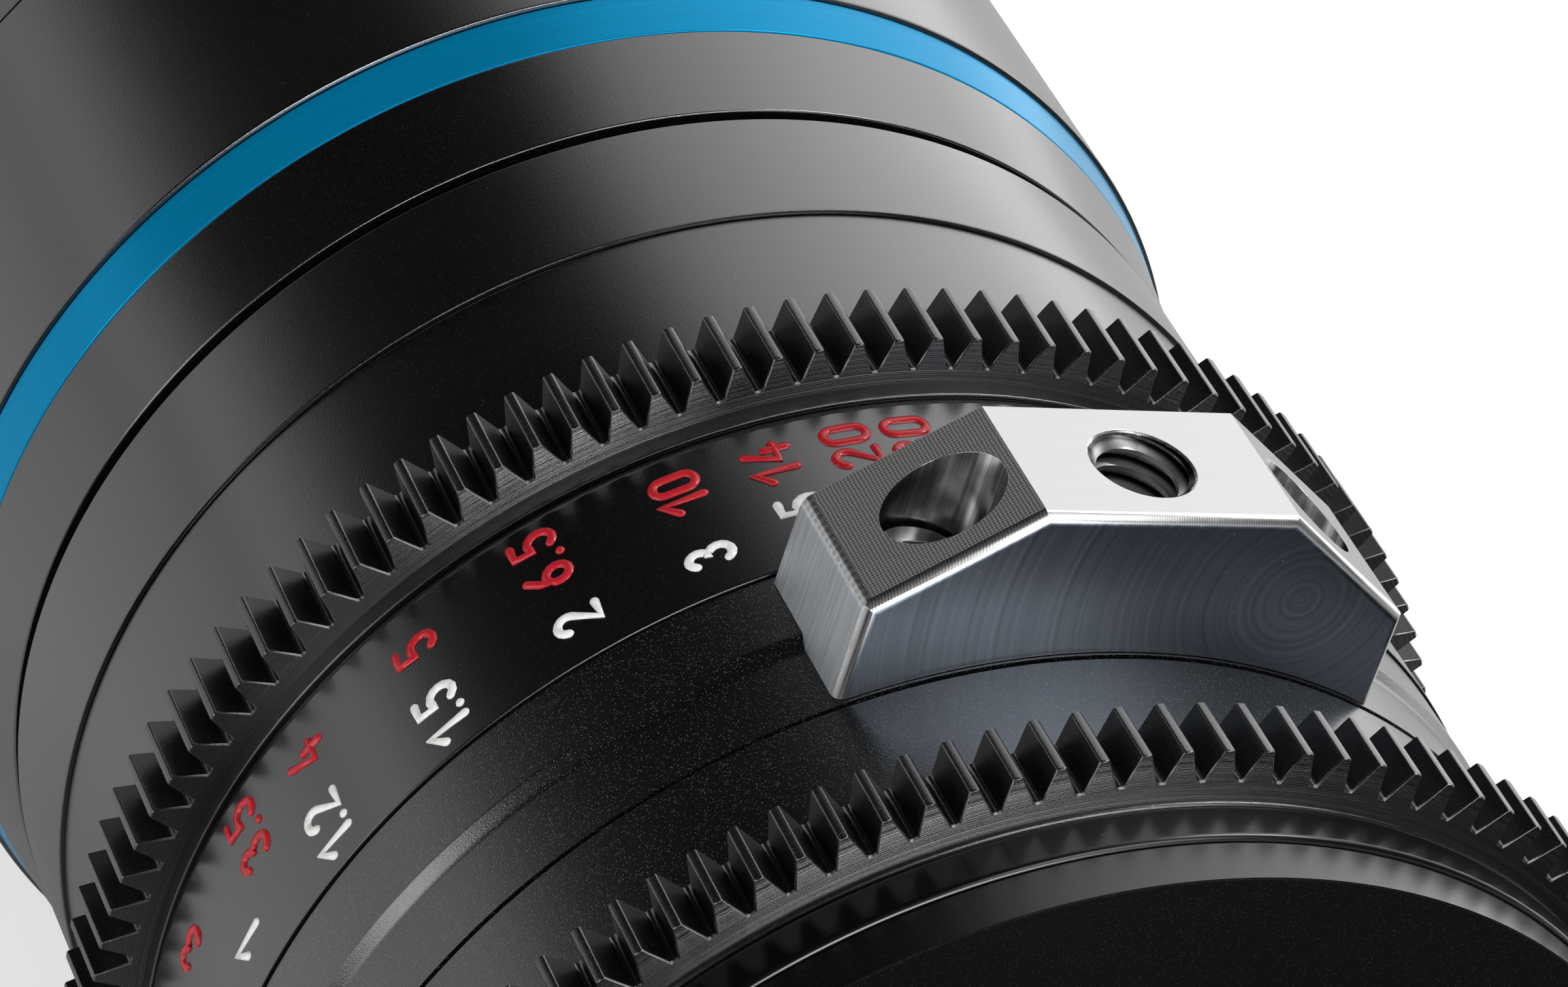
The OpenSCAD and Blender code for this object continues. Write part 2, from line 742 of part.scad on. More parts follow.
// A square bar turned by 45 degrees that takes one bevel off an edge through a point
module bevel_cut(point, turn, reach) {
    side = foot_bevel * sqrt(2);
    translate([point[0], point[1], foot_z]) rotate([0, 0, turn]) rotate([45, 0, 0])
        cube([2 * reach, side, side], center = true);
}

module support_foot() {
    color(bare_aluminium) along_axis() difference() {
        translate([0, 0, foot_z]) foot_block(foot_len);
        foot_bevels();
        mid_outline(joint);
        for (side = [-1, 1]) {
            foot_rod(side, foot_seat, foot_top + cut, foot_counterbore_d / 2);
            foot_rod(side, 0, foot_seat + cut, foot_screw_d / 2 + fit);
        }
        spoke(foot_mid_z, 0, foot_top - foot_hole_depth, foot_top + cut, foot_hole_d / 2);
        translate([0, 0, foot_mid_z]) rotate([90, 0, 0])
            cone(foot_top - foot_hole_sink, foot_top + cut,
                foot_hole_d / 2, foot_hole_d / 2 + foot_hole_sink + cut);
    }
}

module foot_screws() {
    color(steel) along_axis() for (side = [-1, 1]) difference() {
        union() {
            foot_rod(side, foot_seat + joint, foot_seat + foot_head_h, foot_head_d / 2);
            foot_rod(side, foot_seat - foot_screw_len, foot_seat + joint + cut, foot_screw_d / 2);
        }
        translate([side * foot_screw_x, 0, foot_mid_z]) rotate([90, 0, 0])
            translate([0, 0, foot_seat + foot_head_h - 1.3])
                cylinder(d = foot_socket / cos(30), h = 1.3 + cut, $fn = 6);
    }
}

// Focus ring and its drive

z_washer_rear = z_mid + mid_w + joint;
z_cam = z_washer_rear + washer_t + joint;
z_keeper_end = z_collar_end - 0.4;
z_keeper = z_keeper_end - keeper_w;
z_washer_front = z_keeper - washer_t - joint;
z_cam_end = z_washer_front - joint;

module thrust_washer_rear() {
    color(polymer) along_axis()
        tube(z_washer_rear, z_washer_rear + washer_t, guide_out_r + joint, cam_out_r);
}

module thrust_washer_front() {
    color(polymer) along_axis()
        tube(z_washer_front, z_washer_front + washer_t, guide_out_r + joint, cam_out_r);
}

module cam_keeper_ring() {
    color(brass) along_axis() tube(z_keeper, z_keeper_end, guide_out_r + joint, cam_out_r);
}

// One helical slot of the cam sleeve, swept as rings of four corners
module cam_slot(start) {
    half_w = (roller_d / 2 + slot_fit) / cos(atan(focus_lead / (2 * PI * cam_in_r)));
    end_turn = asin((roller_d / 2 + 2 * slot_fit) / cam_in_r) + 0.3;
    r0 = cam_in_r - cut;
    r1 = cam_out_r + cut;
    steps = 20;
    from = -focus_far - end_turn;
    to = focus_near + end_turn;
    turns = [for (i = [0:steps]) from + (to - from) * i / steps];
    corners = [for (t = turns) each [
        corner(start, t, r0, -half_w), corner(start, t, r1, -half_w),
        corner(start, t, r1, half_w), corner(start, t, r0, half_w)]];
    sides = [for (i = [0:steps - 1]) for (k = [0:3])
        let (a = 4 * i + k, b = 4 * i + (k + 1) % 4)
            each [[b + 4, b, a], [a + 4, b + 4, a]]];
    last = 4 * steps;
    caps = [[0, 1, 2], [0, 2, 3], [last + 2, last + 1, last], [last + 3, last + 2, last]];
    polyhedron(points = corners, faces = concat(sides, caps));
}

// A corner of the slot where the roller stands when the ring has turned by t
function corner(start, t, r, dz) =
    let (a = start - t + to_foot) [r * cos(a), r * sin(a), z_roller + focus_lead * t / 360 + dz];

module cam_sleeve() {
    color(brass) along_axis() difference() {
        tube(z_cam, z_cam_end, cam_in_r, cam_out_r);
        for (i = [0:roller_count - 1])
            cam_slot(roller_angle(i));
        drive_screw_rods(cam_in_r - cut, cam_out_r + cut, 1.1 + fit);
    }
}

module drive_screw_rods(r0, r1, r) {
    for (i = [0:2])
        spoke(z_collar - 2.6, 30 + i * 120, r0, r1, r);
}

module focus_drive_screws() {
    color(steel) along_axis() difference() {
        union() {
            drive_screw_rods(cam_in_r + 0.2, carrier_out_r - 0.1, 1.1);
            drive_screw_rods(carrier_out_r - 0.7, carrier_out_r - 0.1, 1.8);
        }
        drive_screw_rods(carrier_out_r - 0.5, carrier_out_r + cut, 0.6);
    }
}

module focus_ring() {
    color(black_matt) along_axis() difference() {
        tube(z_drum + 0.1, z_collar_end - 0.2, carrier_in_r, carrier_out_r);
        drive_screw_rods(carrier_in_r - cut, carrier_out_r + cut, 1.1 + fit);
        drive_screw_rods(carrier_out_r - 0.7 - fit, carrier_out_r + cut, 1.8 + fit);
    }
}

module scale_drum() {
    drum_end = z_drum + drum_w;
    color(black_anodised) along_axis() difference() {
        union() {
            disc(z_drum, drum_end - 2 * drum_bevel, drum_r);
            cone(drum_end - 2 * drum_bevel, drum_end, drum_r, drum_r - drum_bevel);
        }
        disc(z_drum - cut, drum_end + cut, sleeve_in_r);
    }
}

focus_tooth_at = -0.2;
aperture_tooth_at = -0.8;

module focus_gear() {
    color(black_anodised) along_axis() {
        gear_teeth_ring(z_focus_gear, focus_gear_w, sleeve_in_r, focus_tooth_at);
        tube(z_focus_hub, z_focus_gear, sleeve_in_r, focus_hub_r);
    }
}

module focus_grip_ring() {
    color(black_anodised) along_axis() tube(z_grip, z_grip + grip_w, sleeve_in_r, grip_r);
}

module focus_collar() {
    color(black_anodised) along_axis() tube(z_collar, z_collar_end, sleeve_in_r, collar_r);
}

// Focus carriage

module focus_carriage() {
    color(black_matt) along_axis() difference() {
        disc(z_carriage, z_carriage_front, carriage_r);
        tube(z_carriage + land_w, z_roller - roller_land / 2, relief_r, carriage_r + cut);
        tube(z_roller + roller_land / 2, z_carriage_front - land_w, relief_r, carriage_r + cut);
        disc(z_carriage - cut, z_6_seat, r_6 + glass_fit);
        disc(z_6_front, z_5, r_6 - cell_lip);
        disc(z_5 - joint, z_carriage_front + cut, r_4 + glass_fit);
        for (i = [0:roller_count - 1])
            spoke(z_roller, roller_angle(i), roller_in_r, carriage_r + cut, roller_d / 2 + fit / 2);
    }
}

module cam_rollers() {
    color(brass) along_axis() for (i = [0:roller_count - 1])
        spoke(z_roller, roller_angle(i), roller_in_r + joint, roller_out_r, roller_d / 2);
}

module focus_crown() {
    color(coated_glass) along_axis() element(z_4, z_4_front, r_4, curve_4);
}

module focus_flint() {
    color(coated_glass) along_axis() element(z_5, z_5_front, r_4, curve_5);
}

module focus_rear_element() {
    color(coated_glass) along_axis() element(z_6, z_6_front, r_6, curve_6);
}

module focus_retaining_ring() {
    color(black_matt) along_axis() tube(z_keep_4, z_keep_4 + keep_4_w, r_4 - cell_lip, r_4);
}

module focus_rear_retainer() {
    color(black_matt) along_axis() tube(z_carriage, z_carriage + rear_keep_w, r_6 - cell_lip, r_6);
}

// Front barrel and front group

module front_taper_ring() {
    taper_end = z_taper + taper_len;
    color(black_anodised) along_axis() difference() {
        cone(z_taper, taper_end, taper_rear_r, taper_front_r);
        disc(z_taper - cut, taper_end + cut, guide_out_r + joint);
        disc(z_hub - joint, taper_end + cut, hub_out_r + joint);
    }
}

module accent_ring() {
    color(accent_blue) along_axis() difference() {
        cone(z_accent, z_accent + accent_w, taper_front_r, accent_r);
        disc(z_accent - cut, z_accent + accent_w + cut, accent_in_r);
    }
}

module front_barrel() {
    color(black_anodised) along_axis() difference() {
        union() {
            disc(z_hub, z_accent, hub_out_r);
            disc(z_accent, z_front, accent_in_r - joint);
            disc(z_front, z_filter, front_r);
        }
        disc(z_hub - cut, z_guide_end, guide_out_r + joint);
        disc(z_guide_end - cut, z_filter, guide_r);
        disc(z_cell_flange, z_filter + cut, cell_flange_r + joint);
    }
}

module filter_ring() {
    color(black_anodised) along_axis() difference() {
        disc(z_filter + joint, z_end, front_r);
        disc(z_filter, z_end + cut, cell_flange_r + joint);
        disc(z_end - filter_thread_len, z_end + cut, filter_bore_r);
    }
}

module front_cell() {
    color(black_matt) along_axis() difference() {
        union() {
            disc(z_cell_rear, z_cell_flange + cut, cell_tube_r);
            disc(z_cell_flange + joint, z_cell_front, cell_flange_r);
        }
        disc(z_cell_rear - cut, z_3, r_3 - cell_lip);
        disc(z_3 - joint, z_2, r_3 + glass_fit);
        disc(z_2 - joint, z_1, r_2 + glass_fit);
        disc(z_1 - joint, z_cell_front + cut, r_1 + glass_fit);
    }
}

module front_element() {
    color(coated_glass) along_axis() element(z_1, z_1_front, r_1, curve_1);
}

module second_element() {
    color(coated_glass) along_axis() element(z_2, z_2_front, r_2, curve_2);
}

module third_element() {
    color(coated_glass) along_axis() element(z_3, z_3_front, r_3, curve_3);
}

module element_spacer() {
    color(black_matt) along_axis() tube(z_3_front + air, z_2 - air, r_3 - cell_lip, r_3);
}

module inner_retaining_ring() {
    color(black_matt) along_axis() tube(z_keep_2, z_keep_2 + keep_2_w, r_2 - cell_lip, r_2);
}

module front_retaining_ring() {
    color(black_matt) along_axis() difference() {
        disc(z_keep_1, z_cell_front, r_1);
        disc(z_keep_1 - cut, z_cell_front, r_1 - cell_lip);
        cone(z_keep_1 + 0.6, z_cell_front + 0.01, r_1 - cell_lip, r_1 - 0.4);
    }
}

module front_trim_ring() {
    trim_z = z_cell_front + joint;
    trim_end = z_end - filter_thread_len - 0.3;
    color(black_matt) along_axis() difference() {
        disc(trim_z, trim_end, cell_flange_r);
        cone(trim_z - 0.01, trim_end + 0.01, r_1, cell_flange_r - 0.6);
    }
}

// Aperture ring and iris

module aperture_ring() {
    seat_w = aperture_gear_w + gear_rim + joint;
    color(black_anodised) along_axis() difference() {
        union() {
            disc(z_aperture, z_aperture + aperture_w, carrier_out_r);
            disc(z_aperture + seat_w, z_aperture + aperture_w, barrel_r);
        }
        disc(z_aperture - cut, z_aperture + aperture_w + cut, aperture_in_r);
        spoke(z_ring_pin, 180, 0, carrier_out_r + 0.8, ring_pin_d / 2 + fit / 2);
    }
}

module aperture_gear() {
    teeth_z = z_aperture + gear_rim;
    color(black_anodised) along_axis() {
        gear_teeth_ring(teeth_z, aperture_gear_w, sleeve_in_r, aperture_tooth_at);
        tube(z_aperture, teeth_z, sleeve_in_r, gear_rim_r);
    }
}

module iris_drive_pin() {
    color(steel) along_axis()
        spoke(z_ring_pin, 180, drive_ring_out_r - 1.7, carrier_out_r + 0.7, ring_pin_d / 2);
}

module iris_base() {
    color(black_matt) along_axis() difference() {
        disc(z_shoulder, z_rim, iris_out_r);
        disc(z_shoulder - cut, z_rim + cut, iris_r);
        disc(z_shoulder + iris_base_t, z_rim + cut, ledge_in_r);
        disc(z_drive_ring - 0.2, z_rim + cut, rim_in_r);
        for (i = [0:blade_count - 1])
            rotate([0, 0, i * 360 / blade_count]) translate([pivot_r, 0, 0])
                disc(z_shoulder - cut, z_blades, pivot_pin_d / 2 + fit);
        drive_pin_slot(rim_in_r - cut, iris_out_r + cut);
    }
}

module iris_cover() {
    color(black_matt) along_axis() tube(z_cover, z_cover + iris_cover_t, iris_r + 0.5, iris_out_r);
}

// Place of a blade's drive pin when the aperture ring has turned by t from open
function drive_pin_at(t) = [pivot_r, 0] + lever_len * dir(lever_angle + blade_ratio * t);

function turned(p, a) = [p[0] * cos(a) - p[1] * sin(a), p[0] * sin(a) + p[1] * cos(a)];

// Path of the drive pin, seen from the drive ring at the photographed setting
function slot_path(t) = turned(drive_pin_at(t), aperture_rest - t);

module drive_slot() {
    half_w = drive_pin_d / 2 + slot_fit;
    small = 0.01;
    turns = [for (i = [0:slot_steps]) aperture_turn * i / slot_steps];
    normals = [for (t = turns)
        let (d = slot_path(t + small) - slot_path(t - small)) [-d[1], d[0]] / norm(d)];
    left = [for (i = [0:slot_steps]) slot_path(turns[i]) + half_w * normals[i]];
    right = [for (i = [slot_steps:-1:0]) slot_path(turns[i]) - half_w * normals[i]];
    translate([0, 0, z_drive_ring - cut]) {
        linear_extrude(drive_ring_t + 2 * cut) polygon(concat(left, right));
        for (t = [0, aperture_turn])
            translate(slot_path(t)) cylinder(r = half_w, h = drive_ring_t + 2 * cut);
    }
}

module iris_drive_ring() {
    color(brass) along_axis() difference() {
        tube(z_drive_ring, z_drive_ring + drive_ring_t, drive_ring_in_r, drive_ring_out_r);
        for (i = [0:blade_count - 1])
            rotate([0, 0, i * 360 / blade_count]) drive_slot();
        spoke(z_ring_pin, 180, drive_ring_out_r - 1.8, drive_ring_out_r + cut, ring_pin_d / 2 + fit / 2);
    }
}

// A blade with the iris open, its pivot on the X axis
module blade_open_shape(z) {
    far = 2 * pivot_r;
    pin = drive_pin_at(0);
    intersection() {
        tube(z, z + blade_t, blade_in_r, blade_in_r + blade_w);
        translate([0, 0, z - cut]) linear_extrude(3 * cut)
            polygon([[0, 0], far * dir(blade_from), far * dir(blade_from + 40), far * dir(blade_to - 40),
                far * dir(blade_to)]);
    }
    translate([blade_in_r + blade_w / 2, -tab_w / 2, z])
        cube([pivot_r - blade_in_r - blade_w / 2, tab_w, blade_t]);
    translate([pivot_r, 0, 0]) {
        disc(z, z + blade_t, pivot_boss_r);
        rotate([0, 0, lever_angle]) translate([0, -lever_w / 2, z]) cube([lever_len, lever_w, blade_t]);
        disc(z_shoulder + 0.2, z + blade_t, pivot_pin_d / 2);
    }
    translate([pin[0], pin[1], 0]) {
        disc(z, z + blade_t, lever_boss_r);
        disc(z, z_drive_ring + drive_ring_t - 0.4, drive_pin_d / 2);
    }
}

module iris_blade(i) {
    turn = blade_open + blade_ratio * aperture_rest;
    if (i < blade_count)
        color(black_matt) along_axis() rotate([0, 0, i * 360 / blade_count]) translate([pivot_r, 0, 0])
            rotate([0, 0, turn]) translate([-pivot_r, 0, 0]) blade_open_shape(z_blades + i * blade_pitch);
}

mount_flange();
mount_shim();
mount_screws();
rear_housing();
rear_trim_ring();
rear_cell();
rear_element_inner();
rear_element_outer();
rear_retaining_ring();
rear_baffle();
iris_base();
iris_cover();
guide_tube();
mid_barrel();
barrel_set_screws();
support_foot();
foot_screws();
cam_keeper_ring();
thrust_washer_rear();
thrust_washer_front();
front_taper_ring();
accent_ring();
front_barrel();
filter_ring();
front_trim_ring();
front_cell();
front_element();
second_element();
third_element();
element_spacer();
front_retaining_ring();
inner_retaining_ring();
focus_ring();
scale_drum();
focus_gear();
focus_grip_ring();
focus_collar();
cam_sleeve();
focus_drive_screws();
focus_carriage();
cam_rollers();
focus_crown();
focus_flint();
focus_rear_element();
focus_retaining_ring();
focus_rear_retainer();
aperture_ring();
aperture_gear();
iris_drive_ring();
iris_drive_pin();
iris_blade(0);  // iris_blade_1
iris_blade(1);  // iris_blade_2
iris_blade(2);  // iris_blade_3
iris_blade(3);  // iris_blade_4
iris_blade(4);  // iris_blade_5
iris_blade(5);  // iris_blade_6
iris_blade(6);  // iris_blade_7
iris_blade(7);  // iris_blade_8
iris_blade(8);  // iris_blade_9
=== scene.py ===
# %% [markdown]
# # A cinema prime lens, dressed in Blender
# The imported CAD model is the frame: every ring, tube, screw and glass of the lens already has its size
# and place there. This lesson lays the visible skin over it. The optical axis runs along +Y from the
# camera mount to the front glass, the support foot points up along +Z, and the origin is the middle of
# the mount's seating face. Blender counts in metres, so sizes are written in millimetres times MM.

# %% Load the frame
import json
import math

import bpy
from mathutils import Matrix, Vector


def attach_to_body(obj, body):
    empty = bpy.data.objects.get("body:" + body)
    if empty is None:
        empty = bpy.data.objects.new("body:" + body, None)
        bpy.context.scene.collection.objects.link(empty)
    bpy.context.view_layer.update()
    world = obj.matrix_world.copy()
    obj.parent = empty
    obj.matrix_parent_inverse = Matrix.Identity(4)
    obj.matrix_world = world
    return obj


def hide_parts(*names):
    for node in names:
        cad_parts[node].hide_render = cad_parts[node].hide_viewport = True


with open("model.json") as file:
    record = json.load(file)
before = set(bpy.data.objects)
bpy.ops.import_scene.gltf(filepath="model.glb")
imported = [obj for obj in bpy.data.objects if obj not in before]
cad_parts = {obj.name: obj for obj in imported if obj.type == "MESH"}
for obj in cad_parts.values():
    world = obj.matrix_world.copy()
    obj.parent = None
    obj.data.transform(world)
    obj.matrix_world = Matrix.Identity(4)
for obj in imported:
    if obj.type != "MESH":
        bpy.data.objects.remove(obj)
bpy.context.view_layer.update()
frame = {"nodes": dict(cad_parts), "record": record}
MM = 0.001
scene = bpy.context.scene
scene.view_settings.view_transform = "Standard"

# %% [markdown]
# ## The camera
# The picture is a close view from above, behind and to the left of the foot, through a long lens, so
# parallel edges hardly converge. The camera could be aimed with a Track To constraint, but the picture
# is also rolled, so here its three axes are given and turned into a rotation.

# %% Place the camera
CAMERA_AT = (-0.18134, -0.22911, 0.23982)
CAMERA_RIGHT = Vector((0.90004, -0.34093, 0.27148))
CAMERA_UP = Vector((-0.02032, 0.58942, 0.80757))

bpy.ops.object.select_all(action="DESELECT")
bpy.ops.object.camera_add(location=CAMERA_AT)
camera = bpy.context.object
axes = Matrix((CAMERA_RIGHT, CAMERA_UP, CAMERA_RIGHT.cross(CAMERA_UP))).transposed()
camera.rotation_euler = axes.to_euler()
camera.data.sensor_fit = "HORIZONTAL"
camera.data.sensor_width = 36
camera.data.lens = 151.8
camera.data.clip_start = 0.01
scene.camera = camera
print("camera looks along", [round(v, 3) for v in -CAMERA_RIGHT.cross(CAMERA_UP)])

# %% [markdown]
# ## Small helpers for shader nodes
# A finish is a small tree of nodes. Adding a node by hand means choosing its kind, typing values into
# its sockets and drawing wires, and the helper below does just that: a wire is drawn where it gets
# another node's output, and a value is typed in otherwise.

# %% Helpers for nodes
def put(tree, kind, *feeds, options=None, **named):
    """Add a node, and feed its inputs in order and by name with values or other nodes' outputs"""
    node = tree.nodes.new("ShaderNode" + kind)
    for key, value in (options or {}).items():
        setattr(node, key, value)
    pairs = [(node.inputs[i], feed) for i, feed in enumerate(feeds)]
    pairs += [(node.inputs[key.replace("_", " ")], feed) for key, feed in named.items()]
    for socket, feed in pairs:
        if isinstance(feed, bpy.types.NodeSocket):
            tree.links.new(feed, socket)
        else:
            socket.default_value = feed
    return node


def math_node(tree, operation, *feeds):
    return put(tree, "Math", *feeds, options={"operation": operation}).outputs[0]


def ramp(tree, mask, *stops):
    """Turn a mask from 0 to 1 into colours"""
    node = put(tree, "ValToRGB", mask)
    elements = node.color_ramp.elements
    for i, (at, colour) in enumerate(stops):
        element = elements[i] if i < 2 else elements.new(at)
        element.position = at
        element.color = (*colour, 1)
    return node.outputs["Color"]


def spread(tree, mask, low, high):
    """Stretch a mask from 0 to 1 over another range"""
    return put(tree, "MapRange", mask, To_Min=low, To_Max=high).outputs["Result"]


def new_group(name, inputs, outputs):
    """Start a node group with named sockets; returns its tree, its inputs and its end node"""
    tree = bpy.data.node_groups.new(name, "ShaderNodeTree")
    for key, kind in inputs.items():
        tree.interface.new_socket(key, in_out="INPUT", socket_type="NodeSocket" + kind)
    for key in outputs:
        tree.interface.new_socket(key, in_out="OUTPUT", socket_type="NodeSocketFloat")
    start = tree.nodes.new("NodeGroupInput")
    return tree, start.outputs, tree.nodes.new("NodeGroupOutput")


def marks_from(group, tree, **feeds):
    """Place a node group in a finish and feed it; returns its outputs"""
    return put(tree, "Group", options={"node_tree": group}, **feeds).outputs


print("node helpers ready")

# %% [markdown]
# ## Marks that several finishes share
# Nearly every part of the lens is black anodised aluminium, and what sets the parts apart is how their
# metal was worked before: blasted with fine beads, turned on a lathe, or milled. The marks could be drawn
# anew in every material. As node groups, with the smudges and dust of handling, they are built once, and
# each finish uses them at its own scale.

# %% Node groups for worked metal
blasted_grain, given, result = new_group(
    "blasted grain", {"Place": "Vector", "Grain": "Float"}, ["Height", "Glint"])
pits = put(blasted_grain, "TexNoise", Vector=given["Place"], Scale=given["Grain"], Detail=2.0)
# The Glint mask picks a few grains whose colour is made paler: painted glints, the light that single grains
# catch
cells = put(blasted_grain, "TexVoronoi", Vector=given["Place"], Scale=given["Grain"])
chance = put(blasted_grain, "SeparateColor", cells.outputs["Color"]).outputs[0]
lucky = math_node(blasted_grain, "GREATER_THAN", chance, 0.8)
near = math_node(blasted_grain, "LESS_THAN", cells.outputs["Distance"], 0.34)
blasted_grain.links.new(pits.outputs["Fac"], result.inputs["Height"])
blasted_grain.links.new(math_node(blasted_grain, "MULTIPLY", lucky, near), result.inputs["Glint"])

turned_lines, given, result = new_group(
    "turned lines", {"Place": "Vector", "Lines": "Float"}, ["Line"])
parts = put(turned_lines, "SeparateXYZ", given["Place"]).outputs
flat = put(turned_lines, "CombineXYZ", parts["X"], 0.0, parts["Z"]).outputs[0]
radius = put(turned_lines, "VectorMath", flat, options={"operation": "LENGTH"}).outputs["Value"]
profile_at = put(turned_lines, "CombineXYZ", radius, parts["Y"], 0.0).outputs[0]
rings = put(turned_lines, "TexNoise", Vector=profile_at, Scale=given["Lines"], Detail=3.0)
turned_lines.links.new(rings.outputs["Fac"], result.inputs["Line"])

milled_lines, given, result = new_group(
    "milled lines", {"Place": "Vector", "Lines": "Float", "Length": "Float"}, ["Line"])
squeeze = put(milled_lines, "CombineXYZ", given["Length"], 1.0, 1.0).outputs[0]
drawn = put(milled_lines, "VectorMath", given["Place"], squeeze, options={"operation": "MULTIPLY"})
strokes = put(milled_lines, "TexNoise", Vector=drawn.outputs[0], Scale=given["Lines"], Detail=2.0)
milled_lines.links.new(strokes.outputs["Fac"], result.inputs["Line"])

cutter_grid, given, result = new_group(
    "cutter grid", {"Place": "Vector", "Along X": "Float", "Along Y": "Float"}, ["Line"])
waves = [put(cutter_grid, "TexWave", given["Place"], given["Along " + way], 1.6, 2.0,
             options={"bands_direction": way}).outputs["Fac"] for way in "XY"]
second = math_node(cutter_grid, "MULTIPLY", waves[1], 0.5)
crossed = math_node(cutter_grid, "MULTIPLY_ADD", waves[0], 0.5, second)
cutter_grid.links.new(crossed, result.inputs["Line"])

hand_marks, given, result = new_group(
    "hand marks", {"Place": "Vector", "Specks": "Float"}, ["Smudge", "Dust"])
smudge = put(hand_marks, "TexNoise", Vector=given["Place"], Scale=70.0, Detail=4.0)
specks = put(hand_marks, "TexVoronoi", Vector=given["Place"], Scale=given["Specks"])
chance = put(hand_marks, "SeparateColor", specks.outputs["Color"]).outputs[1]
lucky = math_node(hand_marks, "GREATER_THAN", chance, 0.93)
near = math_node(hand_marks, "LESS_THAN", specks.outputs["Distance"], 0.06)
hand_marks.links.new(smudge.outputs["Fac"], result.inputs["Smudge"])
hand_marks.links.new(math_node(hand_marks, "MULTIPLY", lucky, near), result.inputs["Dust"])
print("groups:", [g.name for g in bpy.data.node_groups])

# %% [markdown]
# ## Black finishes
# Black anodising is a hard clear skin over dyed pores: very dark, with a soft sheen that comes from the
# metal's roughness under it. So the colour hardly varies, and the roughness and a shallow bump carry
# the look; only pale specks lift the colour, real dust and painted glints that stand for light caught by
# single grains. One material could serve the whole lens, but the parts would melt into each other. So one
# function builds them all, and each part of the lens gets its own grain and sheen.

# %% Black finishes
def new_finish(name, metallic=0.0, specular=0.5, ior=1.5):
    """A material with its shader, and the object's own coordinates to draw patterns on"""
    material = bpy.data.materials.new(name)
    material.use_nodes = True
    tree = material.node_tree
    shader = tree.nodes["Principled BSDF"]
    shader.inputs["Metallic"].default_value = metallic
    shader.inputs["Specular IOR Level"].default_value = specular
    shader.inputs["IOR"].default_value = ior
    return material, tree, shader, put(tree, "TexCoord").outputs["Object"]


def wire(tree, shader, height=None, depth=0.01, **feeds):
    """Draw the wires into the shader, with a bump of some depth in millimetres"""
    for key, feed in feeds.items():
        tree.links.new(feed, shader.inputs[key.replace("_", " ")])
    if height:
        bump = put(tree, "Bump", Height=height, Strength=1.0, Distance=depth * MM)
        tree.links.new(bump.outputs["Normal"], shader.inputs["Normal"])


# The last of these lifts the colour of the pale specks: real dust, and painted glints
DUST_SPECKS, DUST_SHOWS, GLINT_AND_DUST_LIFT = 1200.0, 0.15, 0.45
BLACK = (0.0025, 0.0026, 0.003)


def black_finish(name, tone, rough, grain=0.15, depth=0.006, glint=0.03, specular=1.0, rings=0.25,
                 pits=1.0):
    """Black anodised metal: rough is the lowest and highest roughness, grain and depth in millimetres"""
    material, tree, shader, place = new_finish(name, specular=specular, ior=1.8)
    blast = marks_from(blasted_grain, tree, Place=place, Grain=1 / (grain * MM))
    lathe = marks_from(turned_lines, tree, Place=place, Lines=4000.0 * (1 + rings))
    hand = marks_from(hand_marks, tree, Place=place, Specks=DUST_SPECKS)
    # Pale specks in the colour: real dust, and painted glints that stand for light caught by single grains
    bright = math_node(tree, "MULTIPLY_ADD", blast["Glint"], glint,
                       math_node(tree, "MULTIPLY", hand["Dust"], DUST_SHOWS))
    pale = tuple(c + GLINT_AND_DUST_LIFT for c in tone)
    colour = ramp(tree, bright, (0.0, tone), (1.0, pale))
    height = math_node(tree, "MULTIPLY_ADD", lathe["Line"], rings,
                       math_node(tree, "MULTIPLY", blast["Height"], pits))
    wire(tree, shader, height, depth, Base_Color=colour, Roughness=spread(tree, hand["Smudge"], *rough))
    return material


satin_black = black_finish("satin black anodised", BLACK, (0.2, 0.26))
grained_black = black_finish("grained black anodised", BLACK, (0.21, 0.27), 0.09, 0.012, 0.28)
drum_black = black_finish("smooth black anodised", BLACK, (0.2, 0.25), 0.13, 0.004)
band_black = black_finish("dull black anodised", BLACK, (0.24, 0.3), 0.12, 0.004, 0.02, 0.5)
gear_black = black_finish("cut gear black", (0.003, 0.0031, 0.0035), (0.24, 0.32), 0.11, 0.012, 0.1, 0.9)
flank_black = black_finish("gear flank black", BLACK, (0.3, 0.4), 0.11, 0.01, 0.05, 0.3)
faced_black = black_finish("faced black", BLACK, (0.2, 0.26), 0.09, 0.02, 0.03, 1.0, 3.2, 0.05)
dull_faced_black = black_finish("dull faced black", BLACK, (0.22, 0.28), 0.09, 0.02, 0.03, 0.7, 2.8, 0.1)
gloss_black = black_finish("polished black", (0.002, 0.002, 0.0025), (0.2, 0.28), 0.3, 0.0006, 0.0, 0.3)
matt_black = black_finish("matt black", (0.005, 0.005, 0.0055), (0.6, 0.75), 0.15, 0.01, 0.05, 0.1)
flock_black = black_finish("light trap black", (0.002, 0.002, 0.0022), (0.45, 0.6), 0.1, 0.01, 0.03, 0.05)
print("materials with the black finishes:", len(bpy.data.materials))
